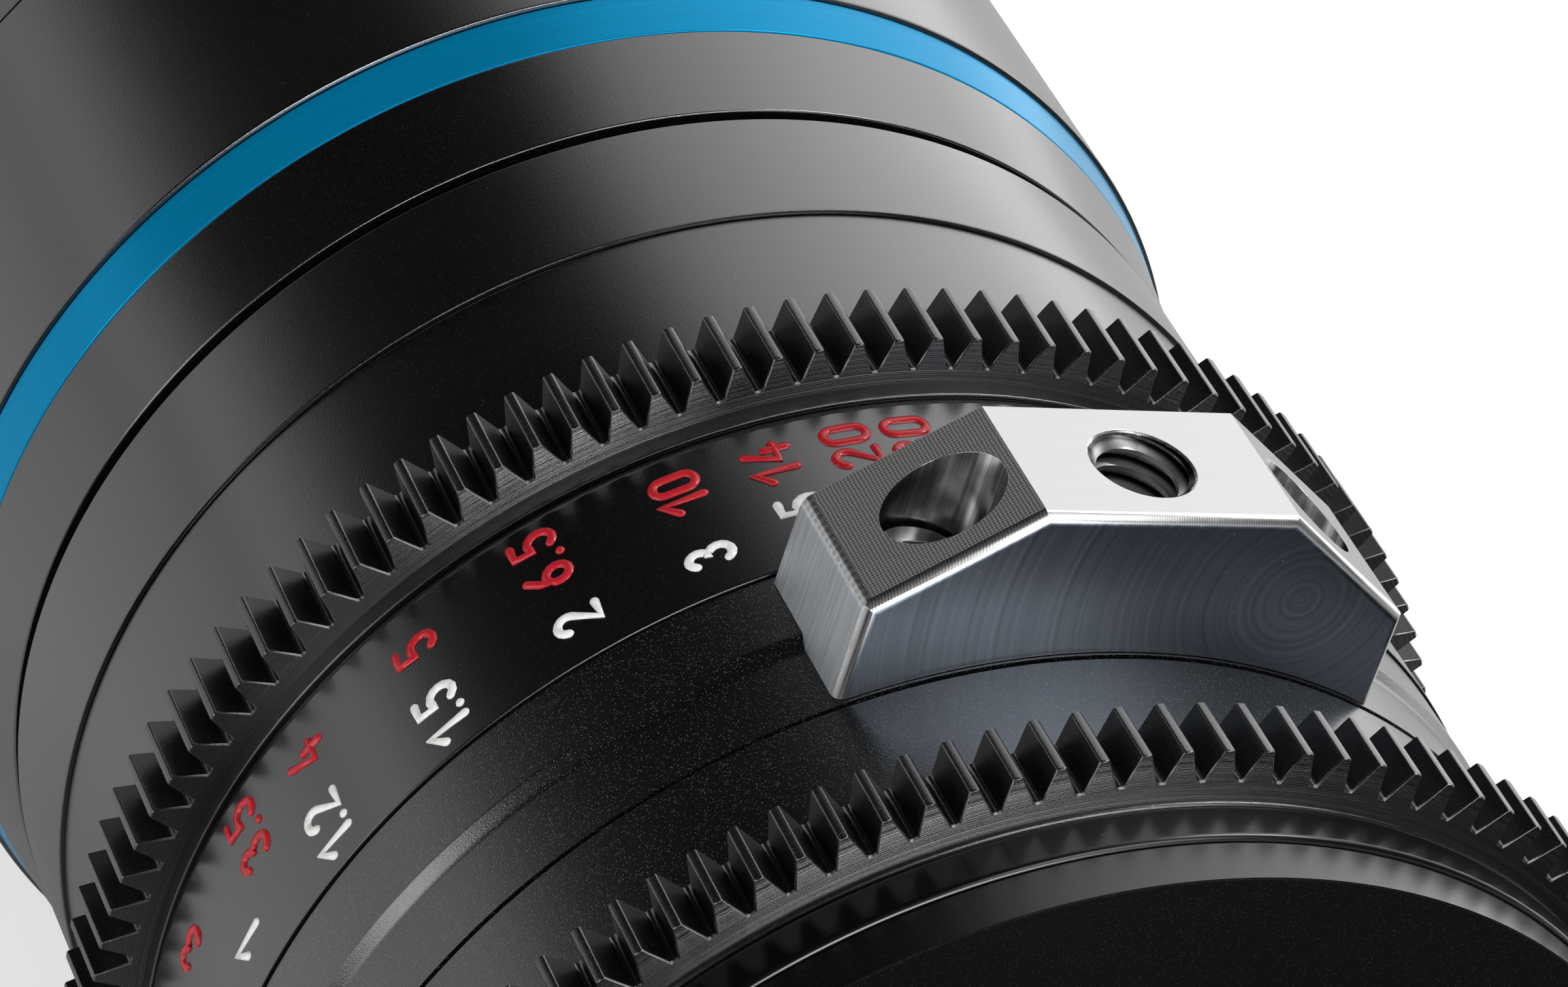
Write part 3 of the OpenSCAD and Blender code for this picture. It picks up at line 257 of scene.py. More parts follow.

# %% [markdown]
# ## Blue, bare metal, paint and glass
# The accent ring is polished and dyed blue, so it is a metal with a coloured mirror. The foot is bare
# aluminium that keeps the marks of every cutter that touched it; the colour of each of its faces is also
# painted light and shade, for how brightly that face catches the light. Screws are turned steel, the cam
# parts brass, the numerals are filled with paint, and the glass carries a faint coating. Photographs of
# metal could be wrapped round the parts, but drawn marks stay sharp at any distance and follow the cutter's
# way.

# %% Metals with turned or milled marks
def turned_metal(name, colour, rough, depth=0.002, lines=5000.0, metallic=1.0, specular=0.5):
    """Metal from the lathe, with fine rings round the optical axis"""
    material, tree, shader, place = new_finish(name, metallic, specular)
    line = marks_from(turned_lines, tree, Place=place, Lines=lines)["Line"]
    shade = ramp(tree, line, (0.3, tuple(0.86 * c for c in colour)), (0.7, colour))
    wire(tree, shader, line, depth, Base_Color=shade, Roughness=spread(tree, line, *rough))
    return material


def milled_metal(name, colour, rough, marks, depth, contrast=0.8, fade=None):
    """Metal from the mill: marks draws its lines, fade is a way and the two stations where it gets rough"""
    material, tree, shader, place = new_finish(name, metallic=1.0)
    line = marks(tree, place)
    hand = marks_from(hand_marks, tree, Place=place, Specks=DUST_SPECKS)
    shade = ramp(tree, line, (0.3, tuple(contrast * c for c in colour)), (0.7, colour))
    blur = math_node(tree, "MULTIPLY_ADD", hand["Smudge"], 0.3, math_node(tree, "MULTIPLY", line, 0.7))
    if fade:
        way, start, end = fade
        along = put(tree, "VectorMath", place, way, options={"operation": "DOT_PRODUCT"})
        share = put(tree, "MapRange", along.outputs["Value"], start * MM, end * MM).outputs["Result"]
        blur = math_node(tree, "MULTIPLY_ADD", blur, 0.3, math_node(tree, "MULTIPLY", share, 0.7))
    blur = math_node(tree, "MAXIMUM", blur, hand["Dust"])
    wire(tree, shader, line, depth, Base_Color=shade, Roughness=spread(tree, blur, *rough))
    return material


def strokes_along(turn, lines, length=0.03):
    """Straight strokes along X, turned by three angles"""
    def marks(tree, place):
        turned = put(tree, "Mapping", Vector=place, Rotation=[math.radians(t) for t in turn]).outputs[0]
        return marks_from(milled_lines, tree, Place=turned, Lines=lines, Length=length)["Line"]
    return marks


def grid_of(pitch_x, pitch_y):
    """A fine weave of two passes, with their pitch in millimetres: a wave of scale 1 is pi / 10 long"""
    scale_x, scale_y = (math.pi / 10 / (pitch * MM) for pitch in (pitch_x, pitch_y))

    def marks(tree, place):
        return marks_from(cutter_grid, tree, Place=place, Along_X=scale_x, Along_Y=scale_y)["Line"]
    return marks


def arcs_about(x, z, lines):
    """Arcs of a face mill whose middle passed at a point beside the face"""
    def marks(tree, place):
        moved = put(tree, "Mapping", Vector=place, Location=(-x * MM, 0, -z * MM)).outputs[0]
        return marks_from(turned_lines, tree, Place=moved, Lines=lines)["Line"]
    return marks


ALUMINIUM = (0.5, 0.503, 0.51)
blue_metal = turned_metal("blue anodised", (0.002, 0.27, 0.53), (0.2, 0.28), 0.0008,
                          metallic=0.45, specular=0.1)
steel_metal = turned_metal("turned steel", (0.56, 0.55, 0.54), (0.24, 0.34), 0.0006, 3000.0)
brass_metal = turned_metal("turned brass", (0.62, 0.43, 0.17), (0.22, 0.34))
tube_metal = turned_metal("turned aluminium", ALUMINIUM, (0.25, 0.4))
# Painted light and shade: the faces of one aluminium block get their own colours, pale on the sides, edges
# and bores, darker on the top and shoulder, and darkest and bluish on the rear
foot_top_metal = milled_metal("milled top", (0.57, 0.573, 0.58), (0.3, 0.36),
                              strokes_along((0, 0, 0), 6000.0), 0.0003, 0.96)
foot_slope_metal = milled_metal("milled shoulder", (0.58, 0.575, 0.57), (0.55, 0.7), grid_of(0.18, 0.2),
                                0.004, 0.35)
foot_side_metal = milled_metal("milled side", (0.84, 0.9, 0.95), (0.34, 0.48),
                               strokes_along((0, 90, 0), 5000.0), 0.002, 0.75)
foot_rear_metal = milled_metal("milled rear", (0.38, 0.43, 0.51), (0.2, 0.54), arcs_about(10, 45, 3200.0),
                               0.001, 0.7, ((-0.33, 0.0, -0.94), -47, -30.5))
foot_edge_metal = milled_metal("rounded edge", (0.9, 0.9, 0.91), (0.26, 0.4), grid_of(0.16, 0.6),
                               0.002, 0.6)
foot_bore_metal = milled_metal("bored wall", (0.95, 0.96, 0.97), (0.16, 0.24),
                               strokes_along((0, 90, 0), 3500.0), 0.0006, 0.5)
print("materials with the metals:", len(bpy.data.materials))

# %% Paint, polymer and glass
def paint(name, colour):
    """Paint that fills the engraved numerals, a little uneven"""
    material, tree, shader, place = new_finish(name)
    flow = put(tree, "TexNoise", Vector=place, Scale=2500.0, Detail=3.0).outputs["Fac"]
    shade = ramp(tree, flow, (0.3, tuple(0.85 * c for c in colour)), (0.6, colour))
    wire(tree, shader, flow, 0.004, Base_Color=shade, Roughness=spread(tree, flow, 0.15, 0.3))
    return material


def glass(name, tint, rough):
    """Polished glass whose roughness only shows a trace of wiping"""
    material, tree, shader, place = new_finish(name)
    shader.inputs["Transmission Weight"].default_value = 1.0
    shader.inputs["IOR"].default_value = 1.6
    shader.inputs["Thin Film Thickness"].default_value = 330.0
    shader.inputs["Thin Film IOR"].default_value = 1.38
    wipe = put(tree, "TexNoise", Vector=place, Scale=90.0, Detail=3.0).outputs["Fac"]
    shade = ramp(tree, wipe, (0.3, tint), (0.7, tuple(min(1.0, 1.02 * c) for c in tint)))
    wire(tree, shader, Base_Color=shade, Roughness=spread(tree, wipe, *rough))
    return material


white_paint = paint("white numeral paint", (0.88, 0.88, 0.86))
red_paint = paint("red numeral paint", (0.5, 0.016, 0.026))
polymer_white = paint("low friction polymer", (0.74, 0.73, 0.68))
coated_glass = glass("coated glass", (0.93, 0.96, 0.97), (0.0, 0.015))
print("materials:", len(bpy.data.materials))

# %% [markdown]
# ## Turned rings
# A lens barrel is made on a lathe, and the Spin tool is Blender's lathe: a profile is drawn point by
# point beside the axis and swept round it. A cylinder primitive with scaled loops could do it too, but
# a drawn profile keeps every step, bevel and bore of the real ring in one list.

# %% The lathe
TURN_STEPS = 240


def start_point(name, x, y, z):
    """Begin a piece as one vertex: a plane merged to its middle and moved, left in edit mode"""
    bpy.ops.object.select_all(action="DESELECT")
    bpy.ops.mesh.primitive_plane_add(size=MM, location=(0, 0, 0))
    piece = bpy.context.object
    piece.name = piece.data.name = name
    bpy.ops.object.mode_set(mode="EDIT")
    bpy.ops.mesh.select_mode(type="VERT")
    bpy.ops.mesh.select_all(action="SELECT")
    bpy.ops.mesh.merge(type="CENTER")
    bpy.ops.transform.translate(value=(x * MM, y * MM, z * MM))
    return piece


def draw_line(name, points):
    """Extrude the start point through the other points, in millimetres; left in edit mode"""
    piece = start_point(name, *points[0])
    for here, there in zip(points, points[1:]):
        step = [(b - a) * MM for a, b in zip(here, there)]
        bpy.ops.mesh.extrude_region_move(TRANSFORM_OT_translate={"value": step})
    return piece


def clean_mesh():
    """Merge doubles and turn the faces outwards, then leave edit mode"""
    bpy.ops.mesh.select_all(action="SELECT")
    bpy.ops.mesh.remove_doubles(threshold=0.002 * MM)
    bpy.ops.mesh.normals_make_consistent(inside=False)
    bpy.ops.object.mode_set(mode="OBJECT")


def turn_ring(name, profile):
    """Spin a closed profile of (radius, station on the axis) round the optical axis"""
    points = [(0, y, r) for r, y in profile]
    piece = draw_line(name, points + points[:1])
    bpy.ops.mesh.select_all(action="SELECT")
    bpy.ops.mesh.spin(steps=TURN_STEPS, angle=2 * math.pi, center=(0, 0, 0), axis=(0, 1, 0))
    clean_mesh()
    return piece


def pick(*pieces):
    """Select these pieces alone, with the first one active"""
    bpy.ops.object.select_all(action="DESELECT")
    for piece in pieces:
        piece.select_set(True)
    bpy.context.view_layer.objects.active = pieces[0]


def apply_modifier(piece, kind, **options):
    """Add a modifier with its options and apply it"""
    bpy.context.view_layer.objects.active = piece
    modifier = piece.modifiers.new(kind.lower(), kind)
    for key, value in options.items():
        setattr(modifier, key, value)
    bpy.ops.object.modifier_apply(modifier=modifier.name)


def soften(piece, width=0.15, segments=2, limit=25):
    """Break the sharp edges with a small bevel, so that they catch the light, and shade smooth"""
    if width:
        apply_modifier(piece, "BEVEL", width=width * MM, segments=segments, limit_method="ANGLE",
                       angle_limit=math.radians(limit))
    pick(piece)
    bpy.ops.object.shade_smooth_by_angle(angle=math.radians(40))
    apply_modifier(piece, "WEIGHTED_NORMAL", keep_sharp=True)


def attach(piece, body, finish):
    """Give the piece its finish and the body that it rides on"""
    piece.data.materials.append(finish)
    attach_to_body(piece, body)
    print(piece.name, len(piece.data.polygons), "faces on", body)


def dress(piece, body, node, finish):
    """Attach a piece that stands for a CAD node"""
    attach(piece, body, finish)
    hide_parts(node)


def refinish(piece, finish, wanted):
    """Give the faces that pass a test another finish"""
    piece.data.materials.append(finish)
    for face in piece.data.polygons:
        if wanted(face):
            face.material_index = len(piece.data.materials) - 1


def make_ring(name, node, body, finish, profile, width=0.15, segments=2, limit=25):
    """A ring that stands for one CAD node, turned, softened and dressed"""
    ring = turn_ring(name, profile)
    soften(ring, width, segments, limit)
    dress(ring, body, node, finish)
    return ring


print("lathe ready,", TURN_STEPS, "steps a turn")

# %% [markdown]
# ## The barrel's rings, from the mount to the front
# Each list below is one ring of the real lens as a closed profile of radius and station. An open skin would
# do for a picture, but bores and hidden shoulders are drawn too, because every ring has to be a whole solid
# when it is taken off. The middle barrel is only turned here: it is drilled before it gets its finish.

# %% Turn the fixed rings
rear_housing = make_ring("rear_housing_turned", "rear_housing", "barrel", band_black, [
    (26, 4.25), (31, 4.25), (31, 13.9), (40.9, 13.9), (41, 14), (41, 17), (37.8, 17), (37.8, 37.9),
    (36.05, 37.9), (36.05, 22), (34.55, 22), (34.55, 17), (29, 17), (29, 22), (26, 22)], 0)
refinish(rear_housing, flock_black, lambda face: face.center.y < 14 * MM and face.normal.y < -0.5)
make_ring("rear_trim_ring_polished", "rear_trim_ring", "barrel", gloss_black, [
    (37.85, 17.1), (41.35, 17.1), (41.35, 19.9), (37.85, 19.9)], 0.4, 4)

BEVEL_SLOPE, HOLLOW_R, CROWN_R = 29, 1.1, 0.35
slope = [math.radians(BEVEL_SLOPE * i / 5) for i in range(6)]
hollow = [(41.1 + HOLLOW_R * (1 - math.cos(t)), 38.72 + HOLLOW_R * math.sin(t)) for t in slope]
crown = [(41.6 - CROWN_R * (1 - math.cos(t)), 40.0 - CROWN_R * math.sin(t)) for t in reversed(slope)]
mid_barrel = turn_ring("mid_barrel_turned", [
    (37.85, 33.9), (41.1, 33.9)] + hollow + crown + [
    (41.6, 45.1), (36.05, 45.1), (36.05, 37.95), (37.85, 37.95)])

make_ring("front_taper_ring_turned", "front_taper_ring", "barrel", satin_black, [
    (36.05, 89.7), (41.5, 89.7), (42.6, 97.25), (39.95, 97.25), (39.95, 92.05), (36.05, 92.05)])
make_ring("accent_ring_polished", "accent_ring", "barrel", blue_metal, [
    (41.4, 97.3), (42.6, 97.3), (43.3, 100.9), (41.4, 100.9)], 0.12)
make_ring("front_barrel_turned", "front_barrel", "barrel", satin_black, [
    (36.05, 92.1), (39.9, 92.1), (39.9, 97.3), (41.35, 97.3), (41.35, 100.95), (43.6, 100.95),
    (43.6, 128.05), (39.55, 128.05), (39.55, 100), (34, 100), (34, 97), (36.05, 97)], 0.2)

# %% [markdown]
# ## Set screws in the middle barrel
# Three small grub screws hold the middle barrel on its tube. Their holes are drilled with a Boolean,
# which is how the real holes come about, rather than cut into the mesh by hand.

# %% Drill the middle barrel
SET_SCREW_Y, SET_SCREW_R = 35.9, 1.05


def rod(name, radius, start, end, sides=32):
    """A straight rod between two points, in millimetres: a circle filled and extruded"""
    begin, finish = Vector(start) * MM, Vector(end) * MM
    along = finish - begin
    bpy.ops.object.select_all(action="DESELECT")
    bpy.ops.mesh.primitive_circle_add(vertices=sides, radius=radius * MM, fill_type="NGON", location=begin,
                                      rotation=along.to_track_quat("Z", "Y").to_euler())
    piece = bpy.context.object
    piece.name = piece.data.name = name
    bpy.ops.object.transform_apply(location=True, rotation=True, scale=True)
    bpy.ops.object.mode_set(mode="EDIT")
    bpy.ops.mesh.select_all(action="SELECT")
    bpy.ops.mesh.extrude_region_move(TRANSFORM_OT_translate={"value": along})
    clean_mesh()
    return piece


def cut_away(piece, *tools):
    """Take the tools' volumes out of the piece, then throw the tools away"""
    for tool in tools:
        apply_modifier(piece, "BOOLEAN", operation="DIFFERENCE", object=tool, solver="EXACT")
        bpy.data.objects.remove(tool)


def around(angle, radius, y):
    """A point at an angle from the foot, turning towards +X"""
    turn = math.radians(angle)
    return (radius * math.sin(turn), y, radius * math.cos(turn))


drills = [rod("drill", SET_SCREW_R, around(a, 37, SET_SCREW_Y), around(a, 43, SET_SCREW_Y))
          for a in (120, 180, 240)]
cut_away(mid_barrel, *drills)
soften(mid_barrel, 0.12)
dress(mid_barrel, "barrel", "mid_barrel", grained_black)

# %% [markdown]
# ## The rings that turn by hand
# The aperture ring near the mount and the focus group in the middle are rings too. They could be one mesh
# with grooves, but each is a part of its own that rides on the body that turns it. The scale drum has a
# wide bevel at its front, where it meets the gear's hub across a narrow open gap.

# %% Turn the moving rings
DRUM_R, APERTURE_R = 41.8, 41.0

make_ring("aperture_ring_turned", "aperture_ring", "aperture_ring_group", grained_black, [
    (37.9, 20.05), (39.5, 20.05), (39.5, 24.9), (APERTURE_R, 24.9), (APERTURE_R, 33.75), (37.9, 33.75)])
make_ring("scale_drum_turned", "scale_drum", "focus_ring_group", drum_black, [
    (39.55, 45.25), (DRUM_R, 45.25), (DRUM_R, 57.65), (41.35, 58.55), (39.55, 58.55)])
make_ring("focus_grip_ring_turned", "focus_grip_ring", "focus_ring_group", satin_black, [
    (39.55, 65.45), (41.25, 65.45), (41.25, 78.35), (39.55, 78.35)])
make_ring("focus_collar_turned", "focus_collar", "focus_ring_group", satin_black, [
    (39.55, 78.4), (41.55, 78.4), (41.55, 88.7), (39.55, 88.7)])

# %% [markdown]
# ## The two gears
# Follow-focus motors mesh with the gears on the focus and aperture rings. A gear could be made with an
# Array round an empty, but a real one is cut tooth by tooth at one fixed step, and Spin can do that as
# well: with its duplicate option it copies one sector of the outline round the axis without joining it
# up. The copies' sides are then merged and the flat ring is pulled out to the gear's width.

# %% Cut the gears
TEETH, TIP_R, ROOT_R, GEAR_BORE_R = 110, 44.75, 42.6, 39.55
TIP_LAND, ROOT_FLOOR = 0.6, 0.45


def cut_gear(name, y, width, tooth_at, hub_r, hub_y, hub_width, hub_round):
    """One tooth sector copied round, pulled out along the axis, with a rounded hub behind it"""
    half_step = 180 / TEETH
    half_tip = math.degrees(TIP_LAND / 2 / TIP_R)
    foot = half_step - math.degrees(ROOT_FLOOR / 2 / ROOT_R)
    outline = [(GEAR_BORE_R, -half_step), (ROOT_R, -half_step), (ROOT_R, -foot), (TIP_R, -half_tip),
               (TIP_R, half_tip), (ROOT_R, foot), (ROOT_R, half_step), (GEAR_BORE_R, half_step)]
    points = [around(tooth_at + a, r, y) for r, a in outline]
    gear = draw_line(name, points)
    bpy.ops.mesh.select_all(action="SELECT")
    bpy.ops.mesh.edge_face_add()
    bpy.ops.mesh.spin(steps=TEETH - 1, dupli=True, angle=2 * math.pi * (TEETH - 1) / TEETH,
                      center=(0, 0, 0), axis=(0, 1, 0))
    bpy.ops.mesh.select_all(action="SELECT")
    bpy.ops.mesh.remove_doubles(threshold=0.005 * MM)
    bpy.ops.mesh.extrude_region_move(TRANSFORM_OT_translate={"value": (0, width * MM, 0)})
    clean_mesh()
    soften(gear, 0.1, 1)
    turns = [math.radians(15 * i) for i in range(7)]
    edge = [(hub_r - hub_round * (1 - math.sin(t)), hub_y + hub_round * (1 - math.cos(t))) for t in turns]
    hub = turn_ring(name + "_hub", [(GEAR_BORE_R, hub_y)] + edge + [(hub_r, hub_y + hub_width),
                                                                   (GEAR_BORE_R, hub_y + hub_width)])
    soften(hub, 0)
    pick(gear, hub)
    bpy.ops.object.join()
    return gear


def is_flank(face):
    """Whether a face is a side of a tooth, which neither looks along the axis nor straight out"""
    out = Vector((face.center.x, 0, face.center.z))
    return out.length > ROOT_R * MM and abs(face.normal.y) < 0.3 and face.normal.dot(out.normalized()) < 0.7


focus_gear = cut_gear("focus_gear_cut", 60, 5.4, -0.2, 41.55, 58.8, 1.2, 0.12)
dress(focus_gear, "focus_ring_group", "focus_gear", gear_black)
refinish(focus_gear, faced_black, lambda face: face.normal.y < -0.9)
refinish(focus_gear, flank_black, is_flank)
aperture_gear = cut_gear("aperture_gear_cut", 20.45, 4.4, -0.8, 41.3, 20.05, 0.4, 0.35)
dress(aperture_gear, "aperture_ring_group", "aperture_gear", gear_black)
refinish(aperture_gear, dull_faced_black, lambda face: face.normal.y < -0.9)
refinish(aperture_gear, flank_black, is_flank)

# %% [markdown]
# ## The support foot
# The foot is the lens's bright jewel: a milled aluminium block that straddles the barrel, with a
# threaded hole for a support rod and two counterbored screws. A cube cut by bisects would give the same
# block, but its outline is easier to read as one list: drawn once, filled and pulled out. Its outer edges
# are then rounded in edit mode, and the barrel and the bores are taken out of it with Booleans, in the
# order a machinist would cut them.

# %% Mill the foot
FOOT_REAR, FOOT_LEN, FOOT_MID = 34.1, 10.5, 39.35
FOOT_TOP, FOOT_TOP_HALF, FOOT_HALF, FOOT_SHOULDER = 50.55, 8.1, 17.38, 43.81
FOOT_SCREW_X, FOOT_SEAT = 11.8, 41.9
REAR_ROUND, SIDE_ROUND = 0.75, 0.5


def select_edges(piece, wanted):
    """Select the edges whose two end points, in millimetres, pass a test; enters edit mode"""
    pick(piece)
    bpy.ops.object.mode_set(mode="EDIT")
    bpy.ops.mesh.select_mode(type="EDGE")
    bpy.ops.mesh.select_all(action="DESELECT")
    bpy.ops.object.mode_set(mode="OBJECT")
    for edge in piece.data.edges:
        a, b = (piece.data.vertices[i].co / MM for i in edge.vertices)
        edge.select = wanted(a, b)
    bpy.ops.object.mode_set(mode="EDIT")


outline = [(-FOOT_HALF, 30), (-FOOT_HALF, FOOT_SHOULDER), (-FOOT_TOP_HALF, FOOT_TOP),
           (FOOT_TOP_HALF, FOOT_TOP), (FOOT_HALF, FOOT_SHOULDER), (FOOT_HALF, 30)]
foot = draw_line("support_foot_milled", [(x, FOOT_REAR, z) for x, z in outline])
bpy.ops.mesh.select_all(action="SELECT")
bpy.ops.mesh.edge_face_add()
bpy.ops.mesh.extrude_region_move(TRANSFORM_OT_translate={"value": (0, FOOT_LEN * MM, 0)})
clean_mesh()
select_edges(foot, lambda a, b: a.y < FOOT_REAR + 0.1 and b.y < FOOT_REAR + 0.1 and max(a.z, b.z) > 31)
bpy.ops.mesh.bevel(offset=REAR_ROUND * MM, segments=4, profile=0.5)
bpy.ops.object.mode_set(mode="OBJECT")
select_edges(foot, lambda a, b: abs(a.y - b.y) > 5 and min(abs(a.x), abs(b.x)) > 17.3 and a.z > 43)
bpy.ops.mesh.bevel(offset=SIDE_ROUND * MM, segments=3, profile=0.5)
clean_mesh()
print("foot block:", len(foot.data.polygons), "faces")

# %% Bore the foot
COUNTERBORE_R, SCREW_HOLE_R, ROD_HOLE_R, ROD_HOLE_END, CLEAR_Z = 3.15, 1.6, 3.175, 42.75, 52


def upright(name, radius, x, low, high, sides=64, flare=1):
    """A tool that stands in the foot's middle plane between two heights, and may widen to its top"""
    tool = rod(name, radius, (x, FOOT_MID, low), (x, FOOT_MID, high), sides)
    if flare != 1:
        select_edges(tool, lambda a, b: min(a.z, b.z) > high - 0.1)
        bpy.ops.transform.resize(value=(flare, flare, 1), center_override=(0, FOOT_MID * MM, high * MM))
        bpy.ops.object.mode_set(mode="OBJECT")
    return tool


barrel_tool = turn_ring("barrel_tool", [
    (10, 30), (41.15, 30), (41.15, 39), (41.65, 39.9), (41.65, 48), (10, 48)])
screws_at = (-FOOT_SCREW_X, FOOT_SCREW_X)
counterbores = [upright("counterbore", COUNTERBORE_R, x, FOOT_SEAT, CLEAR_Z) for x in screws_at]
screw_holes = [upright("screw_hole", SCREW_HOLE_R, x, 35, 44, 40) for x in screws_at]
rod_hole = upright("rod_hole", ROD_HOLE_R, 0, ROD_HOLE_END, CLEAR_Z)
sink = upright("sink", 3.0, 0, 50.25, 50.65, flare=1.133)
cut_away(foot, barrel_tool, *counterbores, *screw_holes, rod_hole, sink)
soften(foot, 0.11, 2, 30)
print("foot bored:", len(foot.data.polygons), "faces")

# %% [markdown]
# ## The foot's faces
# Each side of the block was cut by another pass of the mill, so each has its own marks, and its colour is
# painted light and shade for how brightly that side catches the light. One finish with masks could hold
# them all, but it is plainer to sort the faces by where they point and where they lie, and to give every
# sort its own finish.

# %% Give every face of the foot its own cut
FOOT_FINISHES = [foot_edge_metal, foot_top_metal, foot_slope_metal, foot_side_metal, foot_rear_metal,
                 foot_bore_metal]
SQUARE_ON, SLOPE_RISE, BORE_REACH = 0.97, 0.809, 3.7


def foot_cut(face):
    """The finish for one face of the foot"""
    n, c = face.normal, face.center / MM
    for x in (-FOOT_SCREW_X, 0, FOOT_SCREW_X):
        if math.hypot(c.x - x, c.y - FOOT_MID) < BORE_REACH and (abs(n.z) < 0.6 or c.z < 43):
            return foot_bore_metal
    if n.z > SQUARE_ON and c.z > FOOT_TOP - 0.1:
        return foot_top_metal
    if abs(n.z - SLOPE_RISE) < 0.03 and abs(n.y) < 0.05:
        return foot_slope_metal
    if abs(n.x) > SQUARE_ON:
        return foot_side_metal
    return foot_rear_metal if abs(n.y) > SQUARE_ON else foot_edge_metal


dress(foot, "barrel", "support_foot", FOOT_FINISHES[0])
for finish in FOOT_FINISHES[1:]:
    foot.data.materials.append(finish)
counts = [0] * len(FOOT_FINISHES)
for face in foot.data.polygons:
    face.material_index = FOOT_FINISHES.index(foot_cut(face))
    counts[face.material_index] += 1
print("foot faces by cut:", counts)

# %% [markdown]
# ## The thread in the foot
# The support rod screws into a quarter-inch thread of 20 turns an inch. A bump map would fake it from
# above, but the Screw modifier makes the real helix: the outline of one ridge is swept round the hole's
# axis while it climbs by one pitch a turn. Its colour has a painted highlight on the crests and painted
# shade in the grooves.

# %% Thread the rod hole
PITCH, MAJOR_R, MINOR_R = 1.27, 3.19, 2.52
THREAD_TURNS, THREAD_START, THREAD_STEPS, THREAD_FLOOR = 6, 106, 56, 42.85


def painted_thread_shade(x, y, crest, root):
    """A line that falls from one at the thread's crest to nothing in its groove: painted highlight on the
    crest, painted shade in the groove
    """
    def marks(tree, place):
        moved = put(tree, "Mapping", Vector=place, Location=(-x * MM, -y * MM, 0)).outputs[0]
        flat = put(tree, "VectorMath", moved, (1, 1, 0), options={"operation": "MULTIPLY"}).outputs[0]
        away = put(tree, "VectorMath", flat, options={"operation": "LENGTH"}).outputs["Value"]
        return put(tree, "MapRange", away, crest * MM, root * MM, 1.0, 0.0).outputs["Result"]
    return marks


# The thread's colour is painted: a highlight on the crests, and shade that makes the grooves far darker
thread_metal = milled_metal("cut thread", (0.95, 0.95, 0.96), (0.22, 0.32),
                            painted_thread_shade(0, FOOT_MID, MINOR_R, MAJOR_R), 0.0, 0.08)
turn = math.radians(THREAD_START)
ridge = [(r * math.cos(turn), r * math.sin(turn), z)
         for r, z in ((MAJOR_R, 0), (MINOR_R, 0.39), (MINOR_R, 0.71), (MAJOR_R, 1.1))]
thread = draw_line("rod_hole_thread", ridge + ridge[:1])
bpy.ops.mesh.select_all(action="SELECT")
bpy.ops.mesh.remove_doubles(threshold=0.002 * MM)
bpy.ops.object.mode_set(mode="OBJECT")
apply_modifier(thread, "SCREW", axis="Z", screw_offset=PITCH * MM, iterations=THREAD_TURNS,
               steps=THREAD_STEPS, render_steps=THREAD_STEPS, use_merge_vertices=False)
bpy.ops.object.mode_set(mode="EDIT")
bpy.ops.mesh.select_all(action="SELECT")
bpy.ops.mesh.fill_holes(sides=0)
clean_mesh()
thread.location = (0, FOOT_MID * MM, THREAD_FLOOR * MM)
bpy.ops.object.transform_apply(location=True, rotation=False, scale=False)
mouth = upright("mouth", MINOR_R - 0.1, 0, 49.67, 50.6, flare=1.384)
lid = upright("lid", MAJOR_R + 0.3, 0, 50.5, 53)
cut_away(thread, mouth, lid)
soften(thread, 0)
attach(thread, "barrel", thread_metal)

# %% [markdown]
# ## Mount, screws and other small parts
# The bayonet mount and the screws have their true shape in the CAD model already, only with knife-sharp
# edges. Their meshes are copied, welded, freed of needless edges and given a fine bevel, which is
# quicker than drawing them again and keeps them exactly in place.

# %% Dress copies of the small CAD parts
def dressed_copy(node, name, width, body="barrel", finish=steel_metal):
    """A welded copy of a CAD node with its edges broken"""
    piece = bpy.data.objects.new(name, frame["nodes"][node].data.copy())
    scene.collection.objects.link(piece)
    piece.data.materials.clear()
    pick(piece)
    bpy.ops.mesh.customdata_custom_splitnormals_clear()
    bpy.ops.object.mode_set(mode="EDIT")
    bpy.ops.mesh.select_all(action="SELECT")
    bpy.ops.mesh.remove_doubles(threshold=0.002 * MM)
    bpy.ops.mesh.dissolve_limited(angle_limit=math.radians(0.5))
    clean_mesh()
    soften(piece, width)
    dress(piece, body, node, finish)


dressed_copy("mount_flange", "mount_flange_dressed", 0.15)
dressed_copy("mount_screws", "mount_screws_dressed", 0.06)
dressed_copy("barrel_set_screws", "set_screws_dressed", 0.06)
dressed_copy("foot_screws", "foot_screws_dressed", 0.12)

# %% [markdown]
# ## The front of the lens
# The filter ring carries a fine thread inside, and the cone between it and the glass is cut into steps
# that catch stray light. A bump could suggest them, but would not show at the rim. Both are turned like
# the other rings, with a saw-tooth or a stair in their profile.

# %% Turn the filter ring and the stepped cone
FILTER_R, FILTER_CREST, FILTER_PITCH, FILTER_TURNS = 40.6, 40.2, 0.75, 9

saw = []
for i in range(FILTER_TURNS):
    y = 137.8 - i * FILTER_PITCH
    saw += [(FILTER_R, y), (FILTER_CREST, y - FILTER_PITCH * 0.45), (FILTER_CREST, y - FILTER_PITCH * 0.55)]
make_ring("filter_ring_threaded", "filter_ring", "barrel", satin_black, [
    (39.55, 128.1), (43.6, 128.1), (43.6, 138.05), (FILTER_R, 138.05)] + saw + [
    (FILTER_R, 131.05), (39.55, 131.05)], 0.1, 2, 40)

